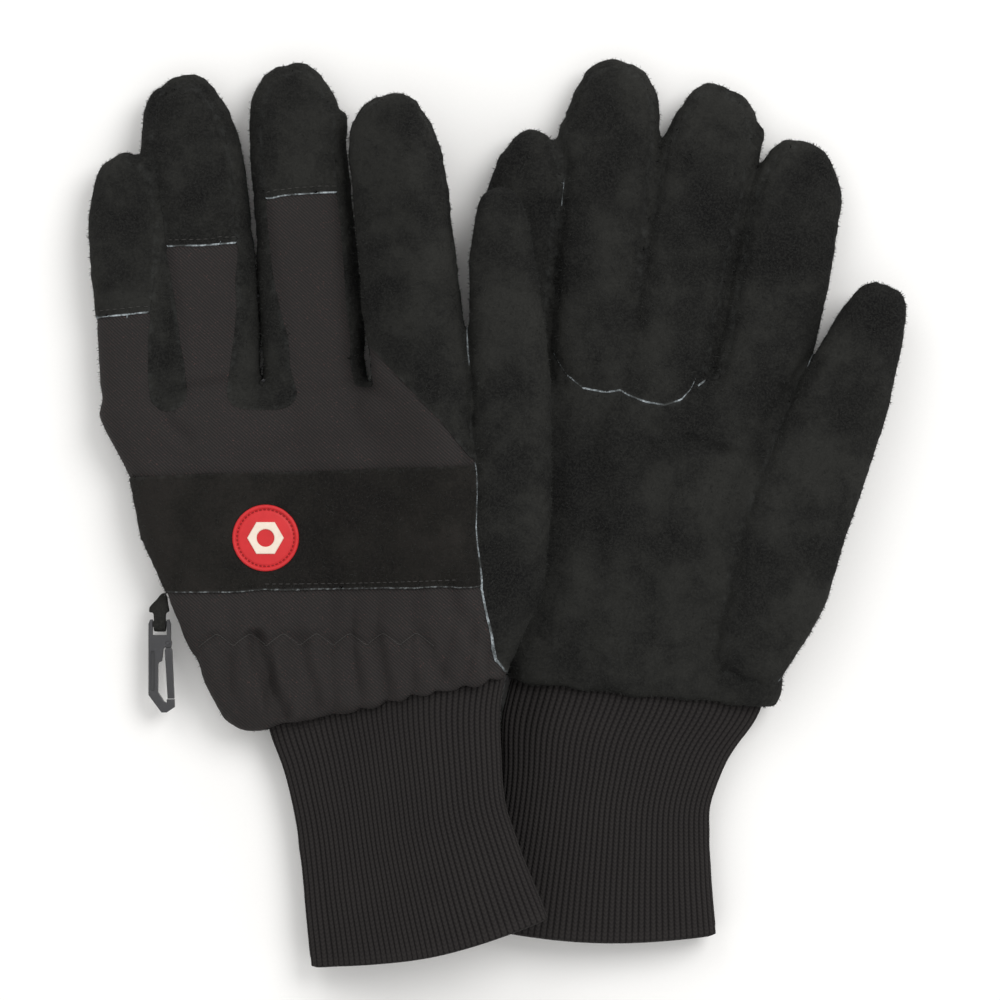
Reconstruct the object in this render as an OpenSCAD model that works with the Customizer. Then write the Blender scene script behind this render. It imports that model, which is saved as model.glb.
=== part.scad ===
// A pair of padded winter work gloves, lying as one puts them down.
// The left-hand glove lies back up and is draped over the edge of the
// right-hand glove, which lies palm up. +X is to the right, +Y to the
// fingertips and +Z up; the floor is z = 0.

/* [Hand] */
// Width of the flat glove at its wrist seam
wrist_width = 78; // [70:1:90]
// Width of the flat glove at the knuckles
knuckle_width = 116; // [104:1:124]
// Length of the palm from the wrist seam to the knuckles
palm_length = 100; // [92:1:110]
// Thickness of the lined hand
hand_thick = 18; // [17:0.5:22]
// Thickness of a lined finger
finger_thick = 17; // [16.5:0.5:20]
// Thickness of the lined thumb
thumb_thick = 16; // [15.5:0.5:19]
// Width of the knuckle strap, along the hand
strap_width = 36; // [28:1:40]

/* [Fingers] */
// Length of the little finger beyond the knuckles
little_length = 70; // [60:1:80]
// Length of the ring finger beyond the knuckles
ring_length = 94; // [84:1:102]
// Length of the middle finger beyond the knuckles
middle_length = 98; // [88:1:106]
// Length of the index finger beyond the knuckles
index_length = 88; // [78:1:96]
// Length of the thumb from its root in the heel of the hand
thumb_length = 138; // [124:1:146]
// Length of the suede caps, from the fingertips
cap_length = 46; // [34:1:54]

/* [Cuff] */
// Width of the knitted cuff at its narrowest
cuff_width = 64; // [56:1:70]
// Width of the knitted cuff at its open end
cuff_end_width = 75; // [66:1:80]
// Length of the knitted cuff below the wrist seam
cuff_length = 75; // [58:1:82]
// Thickness of the flat cuff, both walls and its mouth
cuff_thick = 15; // [14:0.5:17]
// Thickness of the knitted wall
knit_wall = 3.2; // [2.4:0.2:3.6]

/* [Layers] */
// Thickness of the suede and fabric shell
shell_wall = 1.4; // [1:0.1:1.6]
// Thickness of the fleece lining and its wadding
lining_wall = 2.4; // [1.6:0.1:2.8]
// Thickness of the wrist elastic
elastic_wall = 0.8; // [0.5:0.1:1]
// Width of the wrist elastic
elastic_width = 10; // [6:1:14]
// Gap between two pieces that are sewn or laid together
clearance = 0.3; // [0.2:0.05:0.4]
// Height of the side walls between the fingers
gusset_height = 9; // [6:0.5:10]

/* [Badge] */
// Diameter of the round rubber badge
badge_diameter = 20; // [16:0.5:24]
// Thickness of the badge
badge_thick = 1.6; // [1.2:0.1:2]
// Depth of the seat that the badge has in the strap
badge_seat = 0.7; // [0.4:0.1:0.8]

/* [Hook] */
// Length of the snap hook, from its eye to its nose
hook_length = 30; // [24:1:34]
// Width of the snap hook
hook_width = 8; // [7.5:0.5:10]
// Thickness of the snap hook
hook_thick = 3; // [2.4:0.2:4]
// Width of the leather tab that carries the hook
tab_width = 7; // [6:0.5:9]
// Thickness of the tab's leather
tab_wall = 1.2; // [0.9:0.1:1.4]

/* [Lay] */
// Height of the air between the two gloves where they cross
lay_gap = 0.6; // [0.4:0.1:3]
// How far the right glove's hand is spread flat, against the left one's
right_spread = 0.68; // [0.6:0.02:0.8]

/* [Hidden] */

LEFT = 0;
RIGHT = 1;
far = 300;
sides = 8;                      // facets round a blob
levels = [[1, 0], [0.82, 0.55], [0.45, 0.88]];  // a blob's rounding

// Where each glove's wrist seam lies
wrist_at = [[-35.5, -58.1], [41.6, -55.4]];

// How far in the layers lie, from the glove's outer face
elastic_out = shell_wall + clearance;
lining_out = elastic_out + elastic_wall + clearance;
cavity_out = lining_out + lining_wall;
hem = 0.7;                      // the shell ends just above the wrist seam
lining_end = 7;                 // the lining stops above the wrist seam
elastic_margin = 17;            // the elastic stops short of the thumb
cuff_ease = 0.95;               // the tucked cuff's play inside the shell
cuff_tuck = 6;                  // the cuff reaches up inside the shell

// The palm's rows from the wrist seam to the knuckles: how far up, how much
// of the flare, and for each glove the middle's drift and the row's slant
row_up = [0, 0.06, 0.18, 0.355, 0.53, 0.355 + strap_width / palm_length,
  0.82, 0.9];
row_flare = [0, 0.33, 0.44, 0.58, 0.71, 0.77, 0.9, 0.98];
row_drift = [[0, -7, -11.4, -16.9, -21.7, -24.2, -27.7, -30.5],
  [4, 3, 1, 0, 0, 1, 1.5, 2]];
row_slant = [[12.3, 7.5, 1.5, 1.2, 2.4, 1.9, 0.4, 0.8],
  [-6, -6, -5, -4, -3, -2, -1, 0]];
row_lift = [[0, 0, 0, 0, 0, 0, 0, 0], [0, 0.25, 0.6, 1, 1, 0.75, 0.25, 0]];  // shares of the highest lift
STRAP_BOTTOM = 3;
STRAP_TOP = 5;
KNUCKLES = 7;
palm_columns = 5;

// The fingers, little to index: root along the knuckle row, root up, first
// heading, bend to the tip, width; then the same of the other glove
finger_root = [[-44.5, -23.2, 10.2, 43], [-41, -15.1, 7, 37.7]];
finger_heading = [[4.9, 1, 4, 6.5], [-4, -4, -11, -12]];
finger_bend = [[-5, 10, 2, 2], [-9, -3.4, -3, 4.5]];
finger_width = [24, 29.5, 29.2, 29];
finger_shown = [[1, 1, 1, 1], [1.07, 1.02, 0.92, 0.82]];
finger_length = [little_length, ring_length, middle_length, index_length];
// Where neighbouring fingers part, above the knuckle row
crotch_up = [[-1, 1, 11], [9, 2, 6]];

// The thumb's stations: share of its length, drift, width share
thumb_root = [[26, 15], [33, 12]];
thumb_stations = [
  [[0, 3, 0.9], [0.16, 9.5, 1.2], [0.34, 13.2, 1.06], [0.56, 13.8, 1.02],
    [0.74, 12.3, 0.98], [0.88, 10.6, 0.86], [0.985, 10.2, 0.62]],
  [[0, 2, 1.04], [0.14, 10.2, 1.36], [0.28, 15.5, 1.4], [0.43, 23.2, 1.36],
    [0.58, 31.3, 1.22], [0.71, 38.7, 0.96], [0.78, 42.6, 0.74]]
];
thumb_width = 24;
thumb_sink = [-1.5, 6.5];        // how far it lies above the hand's mid-plane

// The gloves' mid-plane stands this high above the floor
base_up = hand_thick / 2;

// The left glove rises over the right one between these places
rise_from = -56.3;
rise_to = -10.3;
highest_lift = 1.6;
drape_rise = hand_thick / 2 + highest_lift + lay_gap + thumb_thick / 2 - thumb_sink[LEFT];
function smooth(t) = let (u = min(1, max(0, t))) u * u * (3 - 2 * u);
function drape(g, x) = base_up
  + (g == LEFT ? drape_rise * smooth((x - rise_from) / (rise_to - rise_from)) : 0);

function turned(v, a) = [v.x * cos(a) - v.y * sin(a), v.x * sin(a) + v.y * cos(a)];
function placed(g, p) = p + wrist_at[g];
function row_width(g, i) = wrist_width
  + (knuckle_width - wrist_width) * row_flare[i] * (g == LEFT ? 1 : right_spread);
function row_middle(g, i) = placed(g, [row_drift[g][i], palm_length * row_up[i]]);
function row_point(g, i, side) = row_middle(g, i)
  + turned([side * row_width(g, i) / 2, 0], row_slant[g][i]);

// One place of the glove: middle, radius of its rounding
function row_radius(i) = hand_thick / 2 - (i == 0 ? 1 : 0);
function palm_spot(g, i, k) =
  let (r = row_radius(i), w = row_width(g, i) / 2 - r,
    s = -1 + 2 * k / (palm_columns - 1),
    p = row_middle(g, i) + turned([s * w, 0], row_slant[g][i]))
  [p.x, p.y, drape(g, p.x) + highest_lift * row_lift[g][i], r];

// A finger's middle line at a share of its length
function finger_base(g, f) =
  placed(g, [row_drift[g][KNUCKLES] + finger_root[g][f], palm_length]);
function finger_reach(g, f) = finger_length[f] * finger_shown[g][f];
function finger_way(g, f, t) = finger_heading[g][f] + finger_bend[g][f] * t * t;
function finger_at(g, f, t) = finger_base(g, f)
  + turned([0, finger_reach(g, f) * t], finger_heading[g][f] + finger_bend[g][f] * t * t / 2);
finger_steps = [-0.12, 0.2, 0.45, 0.7, 0.88, 1];
finger_swell = [1, 1.02, 1.03, 1.03, 1.01, 0.86];
function finger_radius(k) = finger_thick / 2 - (k == len(finger_steps) - 1 ? 1 : 0);
// The last station stops short, because its rounding reaches the tip
function finger_stop(g, f, k) = finger_steps[k] > 0.8
  ? finger_steps[k] - finger_radius(k) / finger_reach(g, f) : finger_steps[k];
function finger_spot(g, f, k, side) =
  let (r = finger_radius(k), t = finger_stop(g, f, k),
    w = max(0.5, finger_width[f] * finger_swell[k] / 2 - r),
    p = finger_at(g, f, t) + turned([side * w, 0], finger_way(g, f, t)))
  [p.x, p.y, drape(g, p.x), r];

function thumb_turn(g, k) = let (s = thumb_stations[g],
    a = s[max(0, k - 1)], b = s[min(len(s) - 1, k + 1)])
  atan2(-(b[1] - a[1]), (b[0] - a[0]) * thumb_length);
function thumb_spot(g, k, side) =
  let (s = thumb_stations[g][k], r = thumb_thick / 2 - (k == 6 ? 0.8 : 0),
    w = max(0.5, thumb_width * s[2] / 2 - r),
    p = placed(g, thumb_root[g] + [s[1], s[0] * thumb_length])
      + turned([side * w, 0], thumb_turn(g, k)))
  [p.x, p.y, drape(g, p.x) + thumb_sink[g], r];

// The cuff runs down from the wrist seam
cuff_lean = [13, -2];
cuff_steps = [cuff_tuck + 2, 0, -12, -0.45 * cuff_length, -0.75 * cuff_length,
  -cuff_length, -cuff_length - 16];
function cuff_span(k) = k < 2
  ? wrist_width - 2 * (elastic_out + cuff_ease)
  : k == 2 ? cuff_width + 4 : k == 3 ? cuff_width : k == 4
    ? (cuff_width + cuff_end_width) / 2 : cuff_end_width;
function cuff_radius(k) = k < 2 ? row_radius(0) - elastic_out - cuff_ease : cuff_thick / 2;
cuff_drift = [[0, 0, 2.5, 5.5, 10.5, 15, 18], [4, 4, -2.6, -9, -10.8, -12, -12.6]];
function cuff_slant(g, k) = k < 2 ? row_slant[g][0] : g == LEFT ? 13 : -2;
function cuff_spot(g, i, k) =
  let (r = cuff_radius(i), w = cuff_span(i) / 2 - r,
    p = placed(g, [cuff_drift[g][i], cuff_steps[i]])
      + turned([(-1 + 2 * k / (palm_columns - 1)) * w, 0], cuff_slant(g, i)))
  [p.x, p.y, drape(g, p.x) - (i < 2 ? 0 : base_up - cuff_thick / 2), r];

// All points of a rounded blob, drawn in by the depth of a layer
function blob(spot, depth) = let (r = spot[3] - depth) concat(
  [for (up = [-1, 1]) [spot.x, spot.y, spot.z + up * r]],
  [for (l = levels, up = l[1] == 0 ? [0] : [-1, 1], a = [0 : sides - 1])
    [spot.x + r * l[0] * cos(360 * a / sides),
     spot.y + r * l[0] * sin(360 * a / sides), spot.z + up * r * l[1]]]);
function post(spot, depth) = [for (up = [-1, 1])
  [spot.x, spot.y, spot.z + up * (spot[3] - depth)]];

module wrap(points) {
  hull() polyhedron(points = points, faces = [[for (i = [0 : len(points) - 1]) i]]);
}

// A row's outer places are rounded, and those between only at the knuckles
function row_points(spot, k, depth, all_round) =
  all_round || k == 0 || k == palm_columns - 1 ? blob(spot, depth) : post(spot, depth);
function palm_points(g, i, k, depth) =
  row_points(palm_spot(g, i, k), k, depth, i == KNUCKLES);
function cuff_points(g, i, k, depth) = row_points(cuff_spot(g, i, k), k, depth, false);

// The hand with its four fingers, at a depth below its outer face
module hand(g, depth) {
  for (i = [0 : KNUCKLES - 1], k = [0 : palm_columns - 2])
    wrap([for (m = [i, i + 1], n = [k, k + 1]) each palm_points(g, m, n, depth)]);
  for (f = [0 : 3], k = [0 : len(finger_steps) - 2])
    wrap([for (n = [k, k + 1], side = [-1, 1])
      each blob(finger_spot(g, f, n, side), depth)]);
}

module thumb(g, depth) {
  for (k = [0 : 5])
    wrap([for (n = [k, k + 1], side = [-1, 1])
      each blob(thumb_spot(g, n, side), depth)]);
}

module cuff_form(g, depth, last) {
  for (i = [0 : last - 1], k = [0 : palm_columns - 2])
    wrap([for (m = [i, i + 1], n = [k, k + 1]) each cuff_points(g, m, n, depth)]);
}

// Everything on the back-of-hand side of the glove's middle sheet
module dorsal(g, shift) {
  up = g == LEFT ? 1 : -1;
  steps = [for (x = [rise_from : (rise_to - rise_from) / 8 : rise_to + 0.1]) x];
  line = concat([[-far, base_up]], [for (x = steps) [x, drape(g, x)]],
    [[far, drape(g, far)]]);
  translate([0, far, 0]) rotate([90, 0, 0]) linear_extrude(2 * far)
    polygon(concat([for (p = line) [p.x, p.y + up * shift]],
      [[far, up * far], [-far, up * far]]));
}

module column(outline) {
  translate([0, 0, -far]) linear_extrude(2 * far) polygon(outline);
}

// Rows and seams seen from above
function row_end(g, i, side, shift) = row_middle(g, i)
  + turned([side * far / 2, shift], row_slant[g][i]);
function band(g, low, high, shift) = [row_end(g, low, -1, shift),
  row_end(g, low, 1, shift), row_end(g, high, 1, -shift), row_end(g, high, -1, -shift)];
function above_row(g, i, shift) = [row_end(g, i, -1, shift), row_end(g, i, 1, shift),
  [far, far], [-far, far]];

function crotch(g, n) = (finger_base(g, n) + finger_base(g, n + 1)) / 2
  + [0, crotch_up[g][n]];
// Halfway between the facing sides of two fingers, well up their length
function facing(g, n) = (finger_at(g, n, 0.7) + finger_at(g, n + 1, 0.7)
  + [(finger_width[n] - finger_width[n + 1]) / 2, 0]) / 2;
function parting(g, n) = n < 0 ? finger_at(g, 0, 1) + [-60, 30]
  : n > 2 ? finger_at(g, 3, 1) + [80, 30]
  : crotch(g, n) + 2.4 * (facing(g, n) - crotch(g, n));
function root_side(g, n) = n < 0 ? row_point(g, KNUCKLES, -1) - [40, 0]
  : n > 2 ? row_point(g, STRAP_TOP, 1) * 1.3 - crotch(g, 2) * 0.3 : crotch(g, n);
// The strip of one finger, between its partings; n is little to index
function strip(g, n, shift) = [root_side(g, n - 1) + [shift, shift],
  root_side(g, n) + [-shift, shift], parting(g, n) - [shift, 0],
  parting(g, n - 1) + [shift, 0]];
// The end of one finger, from the seam of its cap; the caps differ in length
cap_share = [1.1, 1.16, 0.91];
function cap_zone(g, f, shift) =
  let (t = 1 - cap_length * cap_share[f] / finger_reach(g, f), a = finger_way(g, f, t),
    p = finger_at(g, f, t))
  [p + turned([-24, shift], a), p + turned([24, shift], a),
   p + turned([44, 90], a), p + turned([-44, 90], a)];
// The side walls from one finger's middle round to the next one's
function gusset_zone(g, n, shift) = [
  finger_at(g, n, -0.1) + [shift, 0], finger_at(g, n + 1, -0.1) - [shift, 0],
  finger_at(g, n + 1, 1.3) - [shift, 0], finger_at(g, n, 1.3) + [shift, 0]];

module shell(g) {
  difference() {
    hand(g, 0);
    hand(g, shell_wall);
    thumb(g, shell_wall);
    column([row_end(g, 0, -1, hem), row_end(g, 0, 1, hem), [far, -far], [-far, -far]]);
  }
}

module gusset_space(g, shift) {
  intersection() {
    difference() {
      dorsal(g, -gusset_height / 2 - shift);
      dorsal(g, gusset_height / 2 + shift);
    }
    union() for (n = [0 : 2]) column(gusset_zone(g, n, -shift));
  }
}

module dorsal_shell(g) {
  difference() {
    intersection() {
      shell(g);
      dorsal(g, clearance / 2);
    }
    gusset_space(g, clearance);
  }
}

module palmar_shell(g) {
  difference() {
    shell(g);
    dorsal(g, -clearance / 2);
    gusset_space(g, clearance);
  }
}

module cap_columns(g, shift) {
  for (f = [0 : 2]) intersection() {
    column(cap_zone(g, f, shift));
    column(strip(g, f, shift / 2));
  }
}

fabric = [0.19, 0.18, 0.18];
suede = [0.15, 0.15, 0.145];

module back_panel(g) {
  color(fabric) difference() {
    intersection() {
      dorsal_shell(g);
      column(above_row(g, STRAP_TOP, clearance / 2));
    }
    column(strip(g, 3, -clearance / 2));
    cap_columns(g, -clearance / 2);
  }
}

module index_back(g) {
  color(suede) intersection() {
    dorsal_shell(g);
    column(strip(g, 3, clearance / 2));
    column(above_row(g, STRAP_TOP, clearance / 2));
  }
}

module finger_cap(g, f) {
  color(suede) intersection() {
    dorsal_shell(g);
    column(cap_zone(g, f, clearance / 2));
    column(strip(g, f, clearance));
  }
}

module knuckle_strap(g) {
  color([0.135, 0.13, 0.125]) difference() {
    intersection() {
      dorsal_shell(g);
      column(band(g, STRAP_BOTTOM, STRAP_TOP, clearance / 2));
    }
    badge_disc(g, badge_seat + clearance, clearance);
  }
}

module wrist_panel(g) {
  color([0.18, 0.175, 0.175]) intersection() {
    dorsal_shell(g);
    column(band(g, 0, STRAP_BOTTOM, clearance / 2));
  }
}

module wrist_elastic(g) {
  low = row_middle(g, 2) - [0, elastic_width / 2];
  end = row_width(g, 2) / 2 - elastic_margin;
  color([0.08, 0.08, 0.08]) difference() {
    intersection() {
      hand(g, elastic_out);
      dorsal(g, clearance / 2);
      column([low - [far, 0], low + [end, 0],
        low + [end, elastic_width], low + [-far, elastic_width]]);
    }
    hand(g, elastic_out + elastic_wall);
    thumb(g, 0);
  }
}

module palm_panel(g) {
  color(suede) difference() {
    palmar_shell(g);
    column(front_zone(g, -clearance / 2));
  }
}

// The fronts of the ring and middle fingers, above the seam at their base
function front_zone(g, shift) = [
  crotch(g, 0) + [shift, shift - 2], finger_base(g, 1) + [0, shift - 9],
  finger_base(g, 2) + [0, shift - 12], crotch(g, 2) + [-shift, shift - 8],
  parting(g, 2) - [shift, 0], parting(g, 0) + [shift, 0]];

module finger_front(g) {
  color([0.13, 0.125, 0.12]) intersection() {
    palmar_shell(g);
    column(front_zone(g, clearance / 2));
  }
}

module gusset(g, n) {
  color([0.17, 0.165, 0.165]) intersection() {
    shell(g);
    difference() {
      dorsal(g, -gusset_height / 2);
      dorsal(g, gusset_height / 2);
    }
    column(gusset_zone(g, n, clearance));
  }
}

module thumb_shell(g) {
  difference() {
    thumb(g, 0);
    thumb(g, shell_wall);
    hand(g, -clearance);
  }
}

module thumb_back(g) {
  color([0.195, 0.195, 0.19]) intersection() {
    thumb_shell(g);
    dorsal(g, (g == LEFT ? 1 : -1) * thumb_sink[g] + clearance / 2);
  }
}

module thumb_front(g) {
  color(suede) difference() {
    thumb_shell(g);
    dorsal(g, (g == LEFT ? 1 : -1) * thumb_sink[g] - clearance / 2);
  }
}

module hand_lining(g) {
  difference() {
    hand(g, lining_out);
    hand(g, cavity_out);
    thumb(g, cavity_out);
    column([row_end(g, 0, -1, lining_end), row_end(g, 0, 1, lining_end),
      [far, -far], [-far, -far]]);
  }
}

fleece = [0.1, 0.1, 0.1];

module lining_back(g) {
  color(fleece) intersection() {
    hand_lining(g);
    dorsal(g, clearance / 2);
  }
}

module lining_palm(g) {
  color(fleece) difference() {
    hand_lining(g);
    dorsal(g, -clearance / 2);
  }
}

module lining_thumb(g) {
  color(fleece) difference() {
    thumb(g, lining_out);
    thumb(g, cavity_out);
    hand(g, lining_out - clearance);
    column([row_end(g, 0, -1, lining_end), row_end(g, 0, 1, lining_end),
      [far, -far], [-far, -far]]);
  }
}

module cuff(g) {
  color([0.15, 0.145, 0.14]) difference() {
    cuff_form(g, 0, 5);
    cuff_form(g, knit_wall, 6);
    column([row_end(g, 0, -1, cuff_tuck), row_end(g, 0, 1, cuff_tuck),
      [far, far], [-far, far]]);
    cuff_end(g);
  }
}

// Below the cuff's open end
module cuff_end(g) {
  p = placed(g, [cuff_drift[g][5], cuff_steps[5] + hem]);
  a = cuff_slant(g, 5);
  column([p + turned([-far, 0], a), p + turned([far, 0], a),
    p + turned([far, -far], a), p + turned([-far, -far], a)]);
}

// The badge lies flat in its seat on the strap
function badge_middle(g) = placed(g, g == LEFT ? [-35.5, 51.2] : [-12, 53]);
module badge_disc(g, depth, grow) {
  p = badge_middle(g);
  face = drape(g, p.x) + (g == LEFT ? 1 : -1) * hand_thick / 2 + highest_lift * row_lift[g][4];
  translate([p.x, p.y, face]) rotate([g == LEFT ? 0 : 180, 0, 0])
    translate([0, 0, -depth]) cylinder(h = badge_thick + depth - badge_seat + grow,
      d = badge_diameter + 2 * grow, $fn = 48);
}

motif_depth = 0.5;

module badge(g) {
  color([0.78, 0.2, 0.18]) difference() {
    badge_disc(g, badge_seat, 0);
    motif(g, clearance / 2);
  }
}

// A plain hexagon nut with its round hole
module motif(g, grow) {
  p = badge_middle(g);
  face = drape(g, p.x) + (g == LEFT ? 1 : -1)
    * (hand_thick / 2 + badge_thick - badge_seat) + highest_lift * row_lift[g][4];
  translate([p.x, p.y, face]) rotate([g == LEFT ? 0 : 180, 0, 0])
    translate([0, 0, -motif_depth - grow]) difference() {
      linear_extrude(motif_depth + 2 * grow)
        circle(d = 0.56 * badge_diameter + 2 * grow, $fn = 6);
      translate([0, 0, -1]) cylinder(h = motif_depth + 3,
        d = 0.27 * badge_diameter - 2 * grow, $fn = 32);
    }
}

module badge_motif(g) {
  color([0.93, 0.87, 0.8]) motif(g, 0);
}

// The snap hook hangs from a leather tab at the left glove's wrist
tab_at = [-103.3, -24];
hook_up = 7.5;                  // the hook's mid-plane above the floor
tab_reach = 9.5;                // from the tab's sewn root to the hook's pin
pin_at = tab_at - [0.3, tab_reach];
pin_radius = 0.9;
ear_wall = 1.2;
ear_inset = 1.2;                // the right ear stands in from the hook's side
eye_depth = 3.4;
ear_top = 1.4;
eye_span = hook_width - ear_inset - 2 * ear_wall;
eye_middle = -ear_inset / 2;
loop_width = eye_span - 2 * clearance;
spine_width = 2.9;
throat_side = spine_width - hook_width / 2;
body_bottom = 2.8 - hook_length;
gate_pivot = [hook_width / 2 - 2.1, -5.9];
gate_pin_radius = 0.6;
pin_play = 0.05;
cheek = 0.6;
knuckle_radius = 1.2;
nose_height = 4;
nose_width = 2.4;
gate_gap = 0.25;

module hook_place() {
  translate([pin_at.x, pin_at.y, hook_up]) children();
}

module hook_tab() {
  color([0.12, 0.12, 0.12]) hook_place() {
    translate([eye_middle - loop_width / 2, 0, 0]) rotate([90, 0, 90])
      linear_extrude(loop_width) difference() {
        union() {
          circle(r = pin_radius + clearance + tab_wall, $fn = 32);
          translate([0, -tab_wall]) square([3.7, 2 * tab_wall]);
        }
        circle(r = pin_radius + clearance, $fn = 32);
      }
    // The root is round about the line where the tab is sewn, so that it can flap
    intersection() {
      translate([0, 0, -tab_wall]) linear_extrude(2 * tab_wall)
        polygon([[-tab_width / 2 - 0.4, 3.6], [-tab_width / 2 - 0.4, 5],
          [0, tab_reach], [1.4, tab_reach], [tab_width / 2 - 1, 3.6]]);
      hull() {
        translate([-tab_width, tab_reach - tab_wall, 0]) rotate([0, 90, 0])
          cylinder(r = tab_wall, h = 2 * tab_width, $fn = 32);
        translate([-tab_width, 3, -tab_wall]) cube([2 * tab_width, 1, 2 * tab_wall]);
      }
    }
  }
}

// The hook's outline: ears, web, spine, bevelled foot and nose
module hook_outline() {
  half = hook_width / 2;
  right = half - ear_inset;
  polygon([[-half, 0], [-half + 0.5, ear_top], [-half + ear_wall, ear_top],
    [-half + ear_wall, -eye_depth], [right - ear_wall, -eye_depth],
    [right - ear_wall, ear_top], [right - 0.5, ear_top], [right, 0],
    [right, gate_pivot.y + 1], gate_pivot, [half - 3.5, gate_pivot.y - 1.9],
    [half - 3.9, -11.4], [throat_side + 0.4, -11.8], [throat_side, -12.4],
    [throat_side, body_bottom + 6.2], [throat_side + 1.8, body_bottom + 3.4],
    [half - nose_width, body_bottom + 2.8],
    [half - nose_width, body_bottom + nose_height],
    [half, body_bottom + nose_height], [half, body_bottom + 1.6],
    [half - 2.4, body_bottom], [4 - half, body_bottom],
    [-half, body_bottom + 5.4]]);
}

module hook_body() {
  color([0.2, 0.2, 0.2]) hook_place() {
    difference() {
      union() {
        translate([0, 0, -hook_thick / 2]) linear_extrude(hook_thick) hook_outline();
        translate([gate_pivot.x, gate_pivot.y, -hook_thick / 2])
          cylinder(r = knuckle_radius, h = hook_thick, $fn = 32);
        translate([-hook_width / 2 + 0.4, 0, 0]) rotate([0, 90, 0])
          cylinder(r = pin_radius, h = eye_span + 2 * ear_wall - 0.8, $fn = 32);
      }
      // The slot for the gate's knuckle, and the bore for its pin
      translate([gate_pivot.x, gate_pivot.y, cheek - hook_thick / 2])
        cylinder(r = knuckle_radius + gate_gap + 0.2, h = hook_thick - 2 * cheek, $fn = 32);
      translate([gate_pivot.x, gate_pivot.y, -hook_thick])
        cylinder(r = gate_pin_radius + pin_play, h = 2 * hook_thick, $fn = 32);
    }
  }
}

module hook_gate() {
  half = hook_width / 2;
  gate_end = body_bottom + nose_height + gate_gap;
  neck = gate_pivot.y - knuckle_radius - gate_gap;
  slot = hook_thick - 2 * (cheek + 0.1);
  color([0.2, 0.2, 0.2]) hook_place() {
    translate([0, 0, -hook_thick / 2]) linear_extrude(hook_thick)
      polygon([[half - 3, neck - 0.6], [half - 2.6, neck], [half - 1.2, neck],
        [half - 0.8, neck - 0.6], [half - 0.1, gate_end], [half - 2.1, gate_end]]);
    translate([0, 0, -slot / 2]) linear_extrude(slot) hull() {
      translate(gate_pivot) circle(r = knuckle_radius, $fn = 32);
      translate([half - 2.6, neck - 0.5]) square([1.4, 0.4]);
    }
    translate([gate_pivot.x, gate_pivot.y, -hook_thick / 2])
      cylinder(r = gate_pin_radius, h = hook_thick, $fn = 32);
  }
}

back_panel(LEFT);  // left_back_panel
index_back(LEFT);  // left_index_back
finger_cap(LEFT, 2);  // left_middle_cap
finger_cap(LEFT, 1);  // left_ring_cap
finger_cap(LEFT, 0);  // left_little_cap
knuckle_strap(LEFT);  // left_knuckle_strap
wrist_panel(LEFT);  // left_wrist_panel
wrist_elastic(LEFT);  // left_wrist_elastic
palm_panel(LEFT);  // left_palm_panel
finger_front(LEFT);  // left_finger_front
gusset(LEFT, 0);  // left_gusset_little_ring
gusset(LEFT, 1);  // left_gusset_ring_middle
gusset(LEFT, 2);  // left_gusset_middle_index
thumb_back(LEFT);  // left_thumb_back
thumb_front(LEFT);  // left_thumb_front
lining_back(LEFT);  // left_lining_back
lining_palm(LEFT);  // left_lining_palm
lining_thumb(LEFT);  // left_lining_thumb
cuff(LEFT);  // left_cuff
badge(LEFT);  // left_badge
badge_motif(LEFT);  // left_badge_motif
back_panel(RIGHT);  // right_back_panel
index_back(RIGHT);  // right_index_back
finger_cap(RIGHT, 2);  // right_middle_cap
finger_cap(RIGHT, 1);  // right_ring_cap
finger_cap(RIGHT, 0);  // right_little_cap
knuckle_strap(RIGHT);  // right_knuckle_strap
wrist_panel(RIGHT);  // right_wrist_panel
wrist_elastic(RIGHT);  // right_wrist_elastic
palm_panel(RIGHT);  // right_palm_panel
finger_front(RIGHT);  // right_finger_front
gusset(RIGHT, 0);  // right_gusset_little_ring
gusset(RIGHT, 1);  // right_gusset_ring_middle
gusset(RIGHT, 2);  // right_gusset_middle_index
thumb_back(RIGHT);  // right_thumb_back
thumb_front(RIGHT);  // right_thumb_front
lining_back(RIGHT);  // right_lining_back
lining_palm(RIGHT);  // right_lining_palm
lining_thumb(RIGHT);  // right_lining_thumb
cuff(RIGHT);  // right_cuff
badge(RIGHT);  // right_badge
badge_motif(RIGHT);  // right_badge_motif
hook_tab();
hook_body();
hook_gate();
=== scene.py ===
import math
from contextlib import contextmanager

import bmesh
import bpy
import numpy as np
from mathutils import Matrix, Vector
from mathutils.bvhtree import BVHTree


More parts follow.
